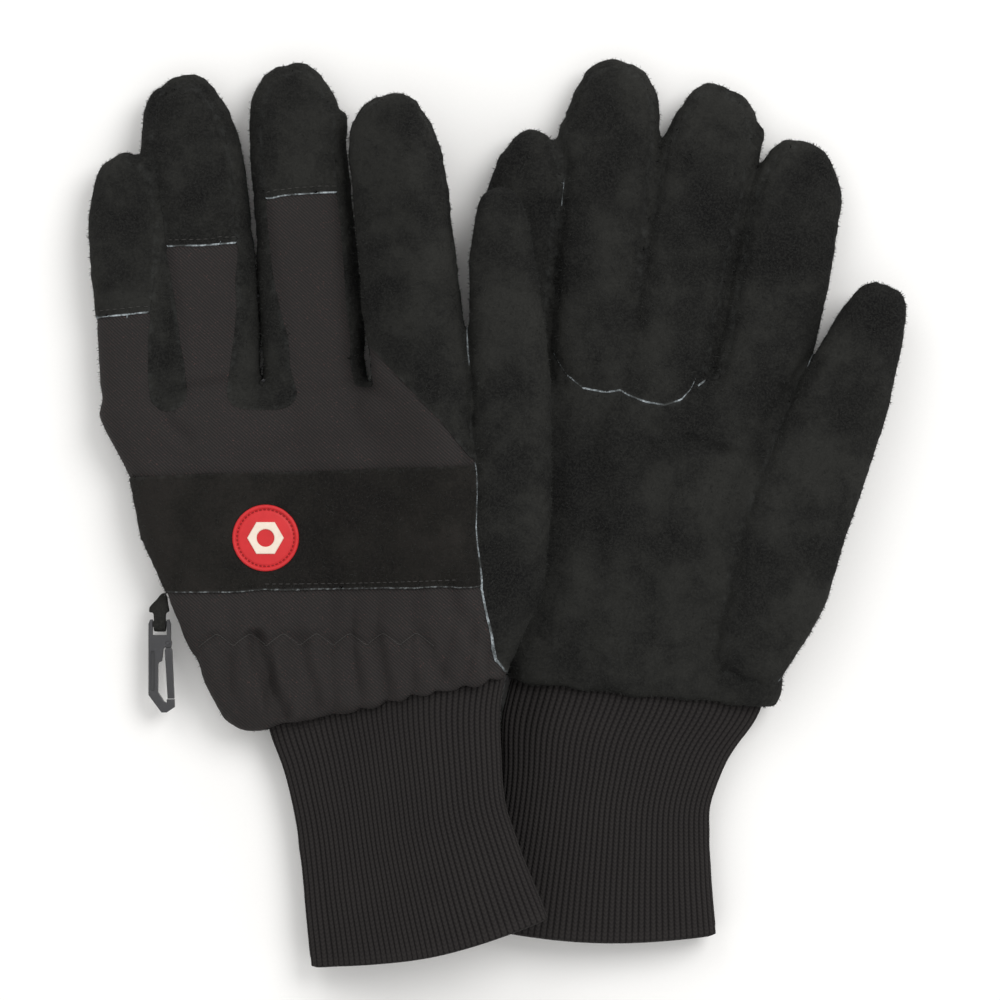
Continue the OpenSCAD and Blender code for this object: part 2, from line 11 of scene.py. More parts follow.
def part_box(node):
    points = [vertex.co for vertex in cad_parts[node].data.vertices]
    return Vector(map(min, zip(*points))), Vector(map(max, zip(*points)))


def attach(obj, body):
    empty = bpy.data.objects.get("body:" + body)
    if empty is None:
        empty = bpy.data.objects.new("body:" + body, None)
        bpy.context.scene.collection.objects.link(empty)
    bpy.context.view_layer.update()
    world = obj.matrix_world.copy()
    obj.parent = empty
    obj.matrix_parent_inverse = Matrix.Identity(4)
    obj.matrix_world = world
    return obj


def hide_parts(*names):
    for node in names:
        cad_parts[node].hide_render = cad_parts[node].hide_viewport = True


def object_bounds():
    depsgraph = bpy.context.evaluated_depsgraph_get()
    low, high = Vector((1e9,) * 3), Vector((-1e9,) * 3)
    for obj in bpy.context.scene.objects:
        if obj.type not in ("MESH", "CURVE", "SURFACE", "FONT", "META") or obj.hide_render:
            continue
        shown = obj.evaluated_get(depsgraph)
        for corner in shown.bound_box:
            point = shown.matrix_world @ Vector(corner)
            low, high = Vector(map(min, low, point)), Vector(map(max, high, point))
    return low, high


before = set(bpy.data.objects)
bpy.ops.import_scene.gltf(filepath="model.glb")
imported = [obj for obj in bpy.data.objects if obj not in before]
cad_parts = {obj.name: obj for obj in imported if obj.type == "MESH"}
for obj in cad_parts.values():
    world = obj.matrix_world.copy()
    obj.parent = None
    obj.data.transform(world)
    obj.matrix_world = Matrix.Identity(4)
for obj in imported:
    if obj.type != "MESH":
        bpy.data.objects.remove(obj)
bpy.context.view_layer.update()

# ---------------------------------------------------------------------------------------------
# The photograph's view: two gloves laid flat on a white table, seen from straight above
# through a long lens. The points are in the photograph's own 1000 x 1000 frame. Where the frame
# or the looks put a thing a little elsewhere, its point is where the render shows it.
POINTS = {
    "left_x": (83, None),
    "right_x": (906, None),
    "top_y": (None, 56),
    "bottom_y": (None, 970),
    "badge": (265.5, 538),
    "hook_top": (159, 620),
    "hook_bottom": (164, 712),
    "little_cap_seam": (122, 315),
    "ring_cap_seam": (201, 245),
    "middle_cap_seam": (302, 195),
    "strap_corner": (474, 464),
    "stitch_row_start": (267, 584),
    "stitch_row_end": (454, 580),
    "zigzag_start": (200, 646),
    "zigzag_end": (433, 645),
    "thumb_seam": (476, 520),
    "base_seam": (640, 398),
    "right_thumb_tip": (875, 282),
}
FRAME_W, FRAME_H = 1000, 1000
LENS, SENSOR = 150.0, 36.0
MM = 0.001
# The height at which the gloves are widest
WIDEST = 12 * MM


def settle_camera():
    """Puts a straight-down camera where the ends are as far apart as their points are, and the
    left badge meets its own."""
    low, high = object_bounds()
    across = POINTS["right_x"][0] - POINTS["left_x"][0]
    down = POINTS["bottom_y"][1] - POINTS["top_y"][1]
    metres_per_pixel = 0.5 * ((high.x - low.x) / across + (high.y - low.y) / down)
    away = metres_per_pixel * FRAME_W * LENS / SENSOR
    low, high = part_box("left_badge")
    metres_per_pixel *= (WIDEST + away - high.z) / away
    x = (low.x + high.x) / 2 + (FRAME_W / 2 - POINTS["badge"][0]) * metres_per_pixel
    y = (low.y + high.y) / 2 - (FRAME_H / 2 - POINTS["badge"][1]) * metres_per_pixel
    lens = bpy.data.cameras.new("photo_camera")
    lens.sensor_fit, lens.sensor_width, lens.lens = "AUTO", SENSOR, LENS
    lens.clip_start, lens.clip_end = 0.01, 20
    eye = bpy.data.objects.new("photo_camera", lens)
    eye.location = (x, y, WIDEST + away)
    bpy.context.scene.collection.objects.link(eye)
    bpy.context.scene.camera = eye
    bpy.context.view_layer.update()
    return eye


camera = settle_camera()
scene = bpy.context.scene
scene.view_settings.view_transform = "Standard"

# ---------------------------------------------------------------------------------------------
# The table: plain white paper, lit by one broad soft lamp from the upper right and by the
# white room. It keeps the gloves' soft grey shadow.
def add_node(tree, kind, sockets=None, stops=(), **settings):
    """Adds a node to a tree, sets it up, and then sets or links its sockets."""
    node = tree.nodes.new(kind)
    for name, value in settings.items():
        setattr(node, name, value)
    if stops:
        ramp = node.color_ramp
        while len(ramp.elements) < len(stops):
            ramp.elements.new(1)
        for element, (place, shade) in zip(ramp.elements, stops):
            element.position, element.color = place, shade
    for name, value in (sockets or {}).items():
        value = value.socket if isinstance(value, Wire) else value
        if isinstance(value, bpy.types.NodeSocket):
            tree.links.new(value, node.inputs[name])
        else:
            node.inputs[name].default_value = value
    return node


class Wire:
    """One socket of a material's tree. Sums and products on it add Math nodes."""

    def __init__(self, tree, socket=None):
        self.tree, self.socket = tree, socket

    def add(self, kind, sockets=None, out=0, **settings):
        """Adds a node and gives one of its outputs."""
        return Wire(self.tree, add_node(self.tree, kind, sockets, **settings).outputs[out])

    def sum_of(self, operation, first, second):
        return self.add("ShaderNodeMath", {0: first, 1: second}, operation=operation)

    def __add__(self, other):
        return self.sum_of("ADD", self, other)

    def __mul__(self, other):
        return self.sum_of("MULTIPLY", self, other)

    def __sub__(self, other):
        return self.sum_of("SUBTRACT", self, other)

    def __rsub__(self, other):
        return self.sum_of("SUBTRACT", other, self)

    def math(self, operation):
        return self.add("ShaderNodeMath", {0: self}, operation=operation)

    def above(self, low, high):
        """0 under low, 1 over high, and a smooth step between."""
        return self.add(
            "ShaderNodeMapRange",
            {"Value": self, "From Min": low, "From Max": high},
            interpolation_type="SMOOTHSTEP",
        )

    def tint(self, first, second):
        """Mixes two colours by this value."""
        return self.add(
            "ShaderNodeMix", {0: self, 6: first, 7: second}, out=2, data_type="RGBA"
        )

    def noise(self, scale, detail=3.0, rough=0.55):
        """Noise at so many cells a metre."""
        return self.add(
            "ShaderNodeTexNoise",
            {"Vector": self.place(), "Scale": scale, "Detail": detail, "Roughness": rough},
        )

    def place(self, turn=0):
        """The piece's own coordinates, turned by so many degrees in plan."""
        return self.add("ShaderNodeMapping", {
            "Vector": self.add("ShaderNodeTexCoord", out=3),
            "Rotation": (0, 0, math.radians(turn)),
        })

    def attribute(self, name):
        return self.add("ShaderNodeAttribute", out=2, attribute_name=name)


def linear(*srgb):
    """A colour as it is read off the photograph, 0 to 255, made linear and solid."""
    return tuple(
        (c / 255 / 12.92) if c / 255 <= 0.04045 else ((c / 255 + 0.055) / 1.055) ** 2.4
        for c in srgb
    ) + (1,)


def finish_material(name, paint, **constants):
    """Makes a material. paint gets a Wire and gives what changes over the surface; the rest
    are constants."""
    material = bpy.data.materials.new(name)
    material.use_nodes = True
    tree = material.node_tree
    shader = tree.nodes["Principled BSDF"]
    for socket, value in constants.items():
        shader.inputs[socket.replace("_", " ").title().replace("Ior", "IOR")].default_value = value
    for socket, value in paint(Wire(tree)).items():
        if isinstance(value, Wire):
            tree.links.new(value.socket, shader.inputs[socket])
        else:
            shader.inputs[socket].default_value = value
    return material


def paper(wire):
    grain = wire.noise(900, 2)
    return {
        "Base Color": grain.tint(linear(252, 251, 249), linear(255, 254, 252)),
        "Roughness": 0.9,
        "Specular IOR Level": 0.0,
    }


@contextmanager
def edited(mesh):
    """A mesh's bmesh, written back at the end."""
    form = bmesh.new()
    form.from_mesh(mesh)
    yield form
    form.to_mesh(mesh)
    form.free()


def make_object(name, mesh):
    made = bpy.data.objects.new(name, mesh)
    scene.collection.objects.link(made)
    return made


def make_table():
    mesh = bpy.data.meshes.new("table")
    with edited(mesh) as form:
        bmesh.ops.create_grid(form, x_segments=8, y_segments=8, size=6)
    table = make_object("table", mesh)
    table.location = (0, 0, -0.4 * MM)
    mesh.materials.append(finish_material("white_paper", paper))


def light_room():
    world = bpy.data.worlds.new("white_room")
    scene.world = world
    world.use_nodes = True
    wire = Wire(world.node_tree)
    path = world.node_tree.nodes.new("ShaderNodeLightPath")
    kinds = [Wire(world.node_tree, path.outputs[f"Is {kind} Ray"])
             for kind in ("Camera", "Glossy", "Transmission")]
    white = (kinds[0] + kinds[1] + kinds[2]).above(0.0, 1.0)
    room_light = 0.76
    strength = white * (1 - room_light) + room_light
    sky = world.node_tree.nodes["Background"]
    sky.inputs["Color"].default_value = (1, 1, 1, 1)
    world.node_tree.links.new(strength.socket, sky.inputs["Strength"])
    for name, place, watts, width in (
        ("window", (0.75, 0.62, 1.25), 10.5, 0.9),
        ("sheet_of_light", (-0.5, 0.9, 1.1), 2.0, 0.8),
    ):
        lamp = bpy.data.lights.new(name, "AREA")
        lamp.shape, lamp.size, lamp.energy = "DISK", width, watts
        stand = make_object(name, lamp)
        stand.location = place
        stand.rotation_mode = "QUATERNION"
        stand.rotation_quaternion = (-Vector(place)).to_track_quat("-Z", "Y")


make_table()
light_room()

# ---------------------------------------------------------------------------------------------
# The sewn hands. Each glove is a soft bag of cloth and suede round a warm lining. Its form is
# taken as one closed skin over the frame's panels, so that the panels meet in sunken seams.
GLOVES = ("left", "right")
PANELS = (
    "back_panel", "index_back", "middle_cap", "ring_cap", "little_cap", "knuckle_strap",
    "wrist_panel", "palm_panel", "finger_front", "gusset_little_ring", "gusset_ring_middle",
    "gusset_middle_index", "thumb_back", "thumb_front",
)
LININGS = ("lining_back", "lining_palm", "lining_thumb")
SKIN_VOXEL = 0.8 * MM
# Deeper than any hollow in the gloves
ALL_THE_WAY = 1.0


def make_mesh(name, spots, faces):
    mesh = bpy.data.meshes.new(name)
    mesh.from_pydata(np.asarray(spots).tolist(), [], np.asarray(faces).tolist())
    mesh.shade_smooth()
    return mesh


def arrays(mesh):
    """A mesh's corners and triangles as arrays."""
    mesh.calc_loop_triangles()
    co = np.empty(len(mesh.vertices) * 3, np.float32)
    mesh.vertices.foreach_get("co", co)
    tri = np.empty(len(mesh.loop_triangles) * 3, np.int32)
    mesh.loop_triangles.foreach_get("vertices", tri)
    return co.reshape(-1, 3).astype(float), tri.reshape(-1, 3).astype(np.int64)


def joined(meshes):
    """The corners and triangles of several meshes as one list each."""
    spots, faces = [], []
    for mesh in meshes:
        co, tri = arrays(mesh)
        faces.append(tri + sum(len(s) for s in spots))
        spots.append(co)
    return np.vstack(spots), np.vstack(faces)


def soup(names):
    """The corners and triangles of several of the frame's nodes."""
    return joined(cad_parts[name].data for name in names)


def tree_over(spots, faces):
    return BVHTree.FromPolygons(spots.tolist(), faces.tolist())


def tree_of(names):
    return tree_over(*soup(names))


def settle(made):
    """Applies an object's modifiers and leaves a plain mesh."""
    dg = bpy.context.evaluated_depsgraph_get()
    plain = bpy.data.meshes.new_from_object(made.evaluated_get(dg))
    made.modifiers.clear()
    old, made.data = made.data, plain
    bpy.data.meshes.remove(old)
    return made


def middle(node):
    low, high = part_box(node)
    return np.array((low + high) / 2)


def centre_of(places):
    return (places.min(axis=0) + places.max(axis=0)) / 2


def keep_part(co, tri):
    """Only the corners that the triangles use."""
    used, new = np.unique(tri, return_inverse=True)
    return co[used], new.reshape(tri.shape)


def patches(tri, count):
    """The lowest corner of the patch that each corner is in."""
    label = np.arange(count)
    while True:
        low = label.copy()
        for a, b in ((0, 1), (1, 2)):
            np.minimum.at(low, tri[:, a], label[tri[:, b]])
            np.minimum.at(low, tri[:, b], label[tri[:, a]])
        low = low[low]
        if (low == label).all():
            return label
        label = low


def reskin(spots, faces, voxel):
    """One closed skin over everything given, without what is hidden inside it."""
    blank = make_object("blank", make_mesh("blank", spots, faces))
    remesh = blank.modifiers.new("skin", "REMESH")
    remesh.mode, remesh.voxel_size, remesh.adaptivity = "VOXEL", voxel, 0
    settle(blank)
    co, tri = arrays(blank.data)
    bpy.data.objects.remove(blank)
    label = patches(tri, len(co))
    main = label == np.bincount(label).argmax()
    return keep_part(co, tri[main[tri].all(axis=1)])


def edges_of(tri, count):
    """Each edge once, and how many edges meet at each corner."""
    ends = np.sort(np.vstack([tri[:, [0, 1]], tri[:, [1, 2]], tri[:, [2, 0]]]), axis=1)
    ends = np.unique(ends, axis=0)
    return ends, np.bincount(ends.ravel(), minlength=count).astype(float)


def relax(values, tri, rounds):
    """Evens values out over a skin. A round moves each corner halfway to its neighbours."""
    values = values.reshape(len(values), -1).copy()
    ends, degree = edges_of(tri, len(values))
    for _ in range(rounds):
        for column in range(values.shape[1]):
            v = values[:, column]
            total = np.bincount(ends[:, 0], v[ends[:, 1]], len(v)) + np.bincount(
                ends[:, 1], v[ends[:, 0]], len(v)
            )
            values[:, column] = v + 0.5 * (total / degree - v)
    return values if values.shape[1] > 1 else values[:, 0]


def normals(co, tri):
    a, b, c = (co[tri[:, k]] for k in range(3))
    flat = np.cross(b - a, c - a)
    out = np.zeros_like(co)
    for k in range(3):
        for axis in range(3):
            out[:, axis] += np.bincount(tri[:, k], flat[:, axis], len(co))
    return out / np.maximum(np.linalg.norm(out, axis=1, keepdims=True), 1e-12)


def gap_to(co, tree, limit):
    """How far each corner is from a tree of faces, up to a limit."""
    out = np.full(len(co), limit)
    for k, spot in enumerate(co.tolist()):
        hit = tree.find_nearest(spot, limit)
        if hit[3] is not None:
            out[k] = hit[3]
    return out


def lattice_noise(co, cell, seed):
    """Smooth noise from -1 to 1 with one random value for each cell corner."""
    p = co / cell + 100.0
    base = np.floor(p).astype(np.int64)
    part = p - base
    part = part * part * (3 - 2 * part)
    total = np.zeros(len(co))
    for corner in range(8):
        step = np.array([(corner >> a) & 1 for a in range(3)])
        q = base + step
        # Large primes scramble the cell's place into a number that looks random
        h = (q[:, 0] * 73856093) ^ (q[:, 1] * 19349663) ^ (q[:, 2] * 83492791)
        h ^= seed * 2654435761
        h = (h ^ (h >> 13)) * 1274126177
        value = ((h ^ (h >> 16)) & 0xFFFF) / 32767.5 - 1
        weight = np.prod(np.where(step, part, 1 - part), axis=1)
        total += value * weight
    return total


def columns_in(names, depth):
    """Upright columns that fill the hollow between two layers for a depth in from the open wrist,
    so that the skin closes over it."""
    spots, faces = soup(names)
    tree = tree_over(spots, faces)
    low, high = spots.min(axis=0), spots.max(axis=0)
    step, half, inset = 1.6 * MM, 0.95 * MM, 0.8 * MM
    cube = np.array([[-1, -1], [1, -1], [1, 1], [-1, 1]]) * half
    shape = np.array([[0, 2, 1], [0, 3, 2], [4, 5, 6], [4, 6, 7], [0, 1, 5], [0, 5, 4], [1, 2, 6],
                      [1, 6, 5], [2, 3, 7], [2, 7, 6], [3, 0, 4], [3, 4, 7]])
    places, faces = [], []
    for x in np.arange(low[0], high[0], step):
        first = None
        for y in np.arange(low[1], high[1], step):
            if first is not None and y > first + depth:
                break
            top = tree.ray_cast((x, y, high[2] + MM), (0, 0, -1))[0]
            if top is None:
                continue
            bottom = tree.ray_cast((x, y, low[2] - MM), (0, 0, 1))[0]
            if top.z - bottom.z < 3 * MM:
                continue
            first = y if first is None else first
            faces.append(shape + len(places) * 8)
            flat = cube + (x, y)
            places.append(np.vstack([np.column_stack([flat, [bottom.z + inset] * 4]),
                                     np.column_stack([flat, [top.z - inset] * 4])]))
    return np.vstack(places), np.vstack(faces)


def closed_hand(glove):
    """The glove's form as one closed skin, and each corner's distance to every panel."""
    names = [f"{glove}_{panel}" for panel in PANELS]
    spots, faces = soup(names + [f"{glove}_{part}" for part in LININGS])
    # The linings are filled and the open wrist is stopped, so that the skin has no inside
    for filling, depth in (
        (("lining_back", "lining_palm"), ALL_THE_WAY),
        (("lining_thumb",), ALL_THE_WAY),
        (("wrist_panel", "palm_panel"), 12 * MM),
    ):
        more_spots, more_faces = columns_in([f"{glove}_{part}" for part in filling], depth)
        faces = np.vstack([faces, more_faces + len(spots)])
        spots = np.vstack([spots, more_spots])
    if glove == "right":
        spots = draw_together(spots, "right_palm_panel", TOUCHING)
    co, tri = reskin(spots, faces, SKIN_VOXEL)
    co = relax(co, tri, 4)
    reach = 9 * MM
    gaps = np.stack([gap_to(co, tree_of([name]), reach) for name in names], axis=1)
    gaps = relax(gaps, tri, 4)
    co = relax(co, tri, 10)
    return round_tips(co, gaps), tri, gaps


# Slits between fingers, in millimetres from a piece's middle: (how far up, middle of the slit,
# half its width, how much of it closes). The left ones are drawn nearly shut towards their
# crotches. In the right glove the middle and index fingers touch all along.
SLITS = (
    ((40, -1.2, 1.8, 0.0), (47, -1.3, 1.9, 1.0), (63, -1.95, 1.6, 1.0), (75, -2.65, 1.3, 1.0),
     (84, -3.2, 1.1, 0.9), (92, -3.7, 1.1, 0.0)),
    ((42, 31.9, 1.9, 0.0), (49, 31.6, 1.9, 0.8), (55, 31.0, 1.7, 0.55), (63, 30.4, 1.5, 0.95),
     (75, 29.3, 1.2, 1.0), (87, 28.0, 0.9, 1.0), (100, 26.8, 0.6, 0.9), (112, 25.6, 0.4, 0.0)),
)
TOUCHING = (
    ((6, 17.2, 0.9, 0.0), (14, 18.1, 0.9, 1.0), (30, 21.25, 0.9, 1.0), (46, 24.5, 0.8, 1.0),
     (58, 26.8, 0.6, 1.0), (70, 29.4, 0.5, 0.0)),
)


def draw_together(co, node, slits):
    """Pulls what lies on both sides of a slit towards its middle."""
    co, ref = co.copy(), middle(node)
    up = (co[:, 1] - ref[1]) / MM
    for slit in slits:
        heights, middles, halves, shares = np.array(slit).T
        off = (co[:, 0] - ref[0]) / MM - np.interp(up, heights, middles)
        half = np.interp(up, heights, halves)
        reach = np.maximum(np.abs(off) - half, 0)
        pull = np.where(np.abs(off) < half, np.abs(off), half * np.exp(-((reach / 5.5) ** 2)))
        co[:, 0] -= np.sign(off) * pull * np.interp(up, heights, shares) * 0.88 * MM
    return co


# How square the loft's fingertips are, 2 being round
TIP = 3.2


def round_tips(co, gaps):
    """Rounds each fingertip in plan, where the loft leaves it squarer than a stuffed one."""
    axes = []
    for panel in ("little_cap", "ring_cap", "middle_cap", "index_back"):
        plan = co[gaps[:, PANELS.index(panel)] < 1.5 * MM, :2]
        top = plan[:, 1].max()
        # A sliver of a panel beside the next finger isn't its tip
        while np.ptp(plan[plan[:, 1] > top - 4 * MM, 0]) < 7 * MM:
            top -= 1 * MM
            plan = plan[plan[:, 1] < top]
        high = plan[(plan[:, 1] < top - 4 * MM) & (plan[:, 1] > top - 14 * MM)]
        low = plan[(plan[:, 1] < top - 24 * MM) & (plan[:, 1] > top - 36 * MM)]
        high_mid, low_mid = centre_of(high), centre_of(low)
        way = (high_mid - low_mid) / np.linalg.norm(high_mid - low_mid)
        side = np.array([way[1], -way[0]])
        half = np.abs((high - high_mid) @ side).max()
        tip = ((plan - high_mid) @ way).max()
        axes.append((high_mid, way, side, half, tip))
    off = []
    for mid, way, side, half, tip in axes:
        along = (co[:, :2] - mid) @ way - (tip - half)
        elsewhere = (along < -0.2 * half) | (along > 1.4 * half)
        off.append(np.abs((co[:, :2] - mid) @ side) + elsewhere)
    own = np.array(off).argmin(axis=0)
    co = co.copy()
    for k, (mid, way, side, half, tip) in enumerate(axes):
        u = (co[:, :2] - mid) @ side / half
        v = ((co[:, :2] - mid) @ way - (tip - half)) / half
        here = (own == k) & (v > 0) & (np.abs(u) < 2)
        square = (np.abs(u) ** TIP + np.abs(v) ** TIP) ** (1 / TIP)
        scale = np.where(here, square / np.maximum(np.hypot(u, v), 1e-6), 1)
        moved = (u * scale)[:, None] * side * half
        moved += ((v * scale) * half + tip - half)[:, None] * way
        moved += mid
        co[:, :2] = np.where(here[:, None], moved, co[:, :2])
    return co


hands = {glove: closed_hand(glove) for glove in GLOVES}

# Creases pressed into the upper faces, in millimetres from the badge's middle on the left glove
# and from the middle of the palm on the right one: (line, depth, half width).
CREASES = {
    "left": (
        (((-3.3, -31.1), (-1.1, -37.8), (1.9, -46.3), (5.9, -57.0)), 2.6, 1.9),
        (((56.2, -14.3), (59.9, -22.5), (65.3, -31.1), (70.5, -36.6)), 1.3, 2.6),
        (((-27.7, 45.2), (-20.1, 45.5), (-11.8, 47.0)), 0.9, 1.8),
        (((-5.7, 36.6), (10.4, 40.0), (26.6, 41.2)), 0.7, 3.5),
        (((-32.3, 46.1), (-30.1, 36.9), (-24.0, 30.8)), 0.9, 2.0),
        (((10.4, -31.1), (13.5, -43.3), (15.9, -57.9)), 1.1, 2.2),
        (((-15.5, -31.1), (-11.5, -43.3), (-6.3, -57.0)), 1.1, 2.2),
        (((47.0, -28.6), (50.7, -35.7), (57.7, -46.3)), 1.0, 2.2),
        (((31.8, -31.1), (36.4, -46.3), (38.5, -57.9)), 0.9, 2.2),
        (tuple((-20 + 5.08 * k, -32.9 + 3.7 * (k % 2)) for k in range(15)), 0.75, 0.95),
    ),
    "right": (
        (
            ((47.2, 16.3), (38.1, 4.1), (34.1, -3.2), (29.9, -12.4), (26.8, -20.3),
             (23.8, -27.6), (20.7, -37.7), (18.3, -47.7)),
            1.3, 2.4,
        ),
        (((9.7, -7.8), (18.9, -10.8), (29.9, -13.9)), 1.0, 1.6),
        (((-4.6, -4.1), (0.0, -19.4), (-4.6, -37.7)), 0.7, 4.0),
        (((-16.8, 5.0), (-19.9, -16.3), (-16.8, -43.8)), 0.6, 4.0),
    ),
}
CREASE_FROM = {"left": "left_badge", "right": "right_palm_panel"}


def off_line(flat, line):
    """How far places in plan are from a bent line."""
    best = np.full(len(flat), 1e9)
    for a, b in zip(line[:-1], line[1:]):
        a, b = np.array(a), np.array(b)
        along = np.clip(((flat - a) @ (b - a)) / max((b - a) @ (b - a), 1e-12), 0, 1)
        best = np.minimum(best, np.linalg.norm(flat - a - along[:, None] * (b - a), axis=1))
    return best


def bell(distance, half_width):
    return np.exp(-((distance / half_width) ** 2))


def crumple(glove, co, tri, gaps):
    """Sinks the seams, fills the panels out a little, and presses the folds and gathers in."""
    ordered = np.sort(gaps, axis=1)
    seam = relax(ordered[:, 1] - ordered[:, 0], tri, 1)
    out = normals(co, tri)
    up = np.clip(out[:, 2], 0, 1)
    sink = -0.55 * bell(seam, 1.5 * MM) + 0.4 * (1 - bell(seam, 7 * MM))
    sink += 0.55 * lattice_noise(co, 21 * MM, 1) + 0.3 * lattice_noise(co, 8 * MM, 2)
    sink += 0.10 * lattice_noise(co, 2.6 * MM, 3)
    cloth = [PANELS.index(panel) for panel in ("back_panel", "wrist_panel")]
    tufts = 0.22 * lattice_noise(co, 1.7 * MM, 4)
    tufts *= ~np.isin(gaps.argmin(axis=1), cloth)
    ref = middle(CREASE_FROM[glove])[:2]
    flat = (co[:, :2] - ref) / MM
    for line, depth, half in CREASES[glove]:
        wander = min(1.3, 0.6 * half) * lattice_noise(co * (1, 1, 0), 9 * MM, 7)
        away = off_line(flat + wander[:, None], line)
        sink += up * (-depth * bell(away, half) + 0.45 * depth * bell(away - 2.1 * half, half))
    low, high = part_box(f"{glove}_wrist_panel")
    # Elastic gathers the wrist: fine upright puckers under the strap that fade to the hem
    run = (co[:, 1] - low.y) / (high.y - low.y)
    drawn = np.clip(run / 0.15, 0, 1) * np.clip((1.02 - run) / 0.35, 0, 1)
    phase = co[:, 0] / (8.6 * MM) + 0.55 * lattice_noise(co * (1, 0.4, 0), 13 * MM, 11)
    pucker = np.abs(np.sin(phase * math.pi)) ** 0.7 - 0.6
    on_wrist = gaps[:, PANELS.index("wrist_panel")] < 1.6 * MM
    sink += 1.5 * drawn * pucker * on_wrist * (co[:, 1] > low.y)
    # The strap lies flat under its badge
    badge = middle(f"{glove}_badge")
    apart = np.linalg.norm(co - badge, axis=1)
    sink *= 1 - np.clip((13 * MM - apart) / (3 * MM), 0, 1)
    soft = relax(sink, tri, 2) + tufts * np.clip((apart - 11 * MM) / (3 * MM), 0, 1)
    moved = co + out * (soft * MM)[:, None]
    moved[:, 2] = np.maximum(moved[:, 2], 0.15 * MM)
    return moved, seam


def split(co, tri, field, extras=()):
    """Cuts triangles where a field crosses zero. Gives the corners, triangles, extras, and which
    triangles are under zero."""
    under = field < 0
    count = under[tri].sum(axis=1)
    whole = (count == 0) | (count == 3)
    mixed = tri[~whole]
    one = under[mixed].sum(axis=1) == 1
    odd = np.where(one[:, None], under[mixed], ~under[mixed]).argmax(axis=1)
    rows = np.arange(len(mixed))
    v0 = mixed[rows, odd]
    v1 = mixed[rows, (odd + 1) % 3]
    v2 = mixed[rows, (odd + 2) % 3]
    pairs = np.vstack([np.sort(np.stack([v0, v1], 1), 1), np.sort(np.stack([v0, v2], 1), 1)])
    cuts, place = np.unique(pairs, axis=0, return_inverse=True)
    place = place.ravel()
    share = field[cuts[:, 0]] / (field[cuts[:, 0]] - field[cuts[:, 1]])
    share = np.clip(share, 0.02, 0.98)

    def extended(values):
        part = share.reshape((-1,) + (1,) * (values.ndim - 1))
        return np.concatenate([values, values[cuts[:, 0]] * (1 - part) + values[cuts[:, 1]] * part])

    a = len(co) + place[: len(mixed)]
    b = len(co) + place[len(mixed):]
    tips = np.stack([v0, a, b], 1)
    near, far = np.stack([a, v1, v2], 1), np.stack([a, v2, b], 1)
    all_tri = np.vstack([tri[whole], tips, near, far])
    low = np.concatenate([count[whole] == 3, one, ~one, ~one])
    return extended(co), all_tri, [extended(e) for e in extras], low


def islands(tri, count, least):
    """Which triangles are in a patch of at least so many."""
    label = patches(tri, count)
    size = np.bincount(label[tri[:, 0]], minlength=count)
    return size[label[tri[:, 0]]] >= least


def cut_under(co, tri, field, least):
    """The part of a skin where a field is under zero, without patches of fewer triangles."""
    spots, cut, _, under = split(co, tri, field)
    cut = cut[under]
    cut = cut[islands(cut, len(spots), least)]
    return keep_part(spots, cut)


def lie_on_table(piece):
    """Flattens what would reach through the table."""
    spots, _ = arrays(piece.data)
    spots[:, 2] = np.maximum(spots[:, 2], 0.02 * MM)
    piece.data.vertices.foreach_set("co", spots.astype(np.float32).ravel())
    piece.data.update()


def give_wall(piece, thickness):
    """Thickens a sheet inwards by so many millimetres."""
    wall = piece.modifiers.new("wall", "SOLIDIFY")
    wall.thickness, wall.offset, wall.use_rim = thickness * MM, -1, True
    settle(piece)


def dress(piece, body, node=None):
    """Binds a finished piece to its body, and hides the node that it replaces."""
    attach(piece, body)
    if node:
        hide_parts(node)


# How each panel is put on: its finish, how far it stands up, its wall in millimetres, and the
# panels against which its raw cut edge shows.
SEWN = {
    "back_panel": ("stretch_fabric", 0.0, 1.2, ()),
    "index_back": ("suede", 0.3, 1.3, ()),
    "middle_cap": ("suede", 0.35, 1.3, ("back_panel",)),
    "ring_cap": ("suede", 0.35, 1.3, ("back_panel",)),
    "little_cap": ("suede", 0.35, 1.3, ("back_panel",)),
    "knuckle_strap": ("strap_leather", 0.6, 1.4, ("wrist_panel",)),
    "wrist_panel": ("stretch_fabric", 0.0, 1.2, ()),
    "palm_panel": ("suede", 0.1, 1.3, ()),
    "finger_front": ("suede", 0.25, 1.3, ("palm_panel",)),
    "gusset_little_ring": ("suede", 0.1, 1.2, ()),
    "gusset_ring_middle": ("suede", 0.1, 1.2, ()),
    "gusset_middle_index": ("suede", 0.1, 1.2, ()),
    "thumb_back": ("suede", 0.25, 1.3, ("wrist_panel", "knuckle_strap", "palm_panel")),
    "thumb_front": ("suede", 0.2, 1.3, ()),
}
# The two lobes in which the fingers' front ends, from the middle of the palm
BASE_SEAM = (
    (-31.4, 19.6), (-27, 12.5), (-22, 8.4), (-15, 7.2), (-10.5, 7.8), (-8.5, 6.4), (-3, 4.2),
    (3, 3.2), (8, 4.8), (11, 8.2), (12.5, 11.8),
)
# Half the width of a raw edge
EDGE = 0.28 * MM


def mark_seams(mesh, distances):
    """Tells the leather's finish how far each corner is from a seam, in millimetres."""
    layer = mesh.attributes.new("seam", "FLOAT", "POINT")
    layer.data.foreach_set("value", distances.astype(np.float32))


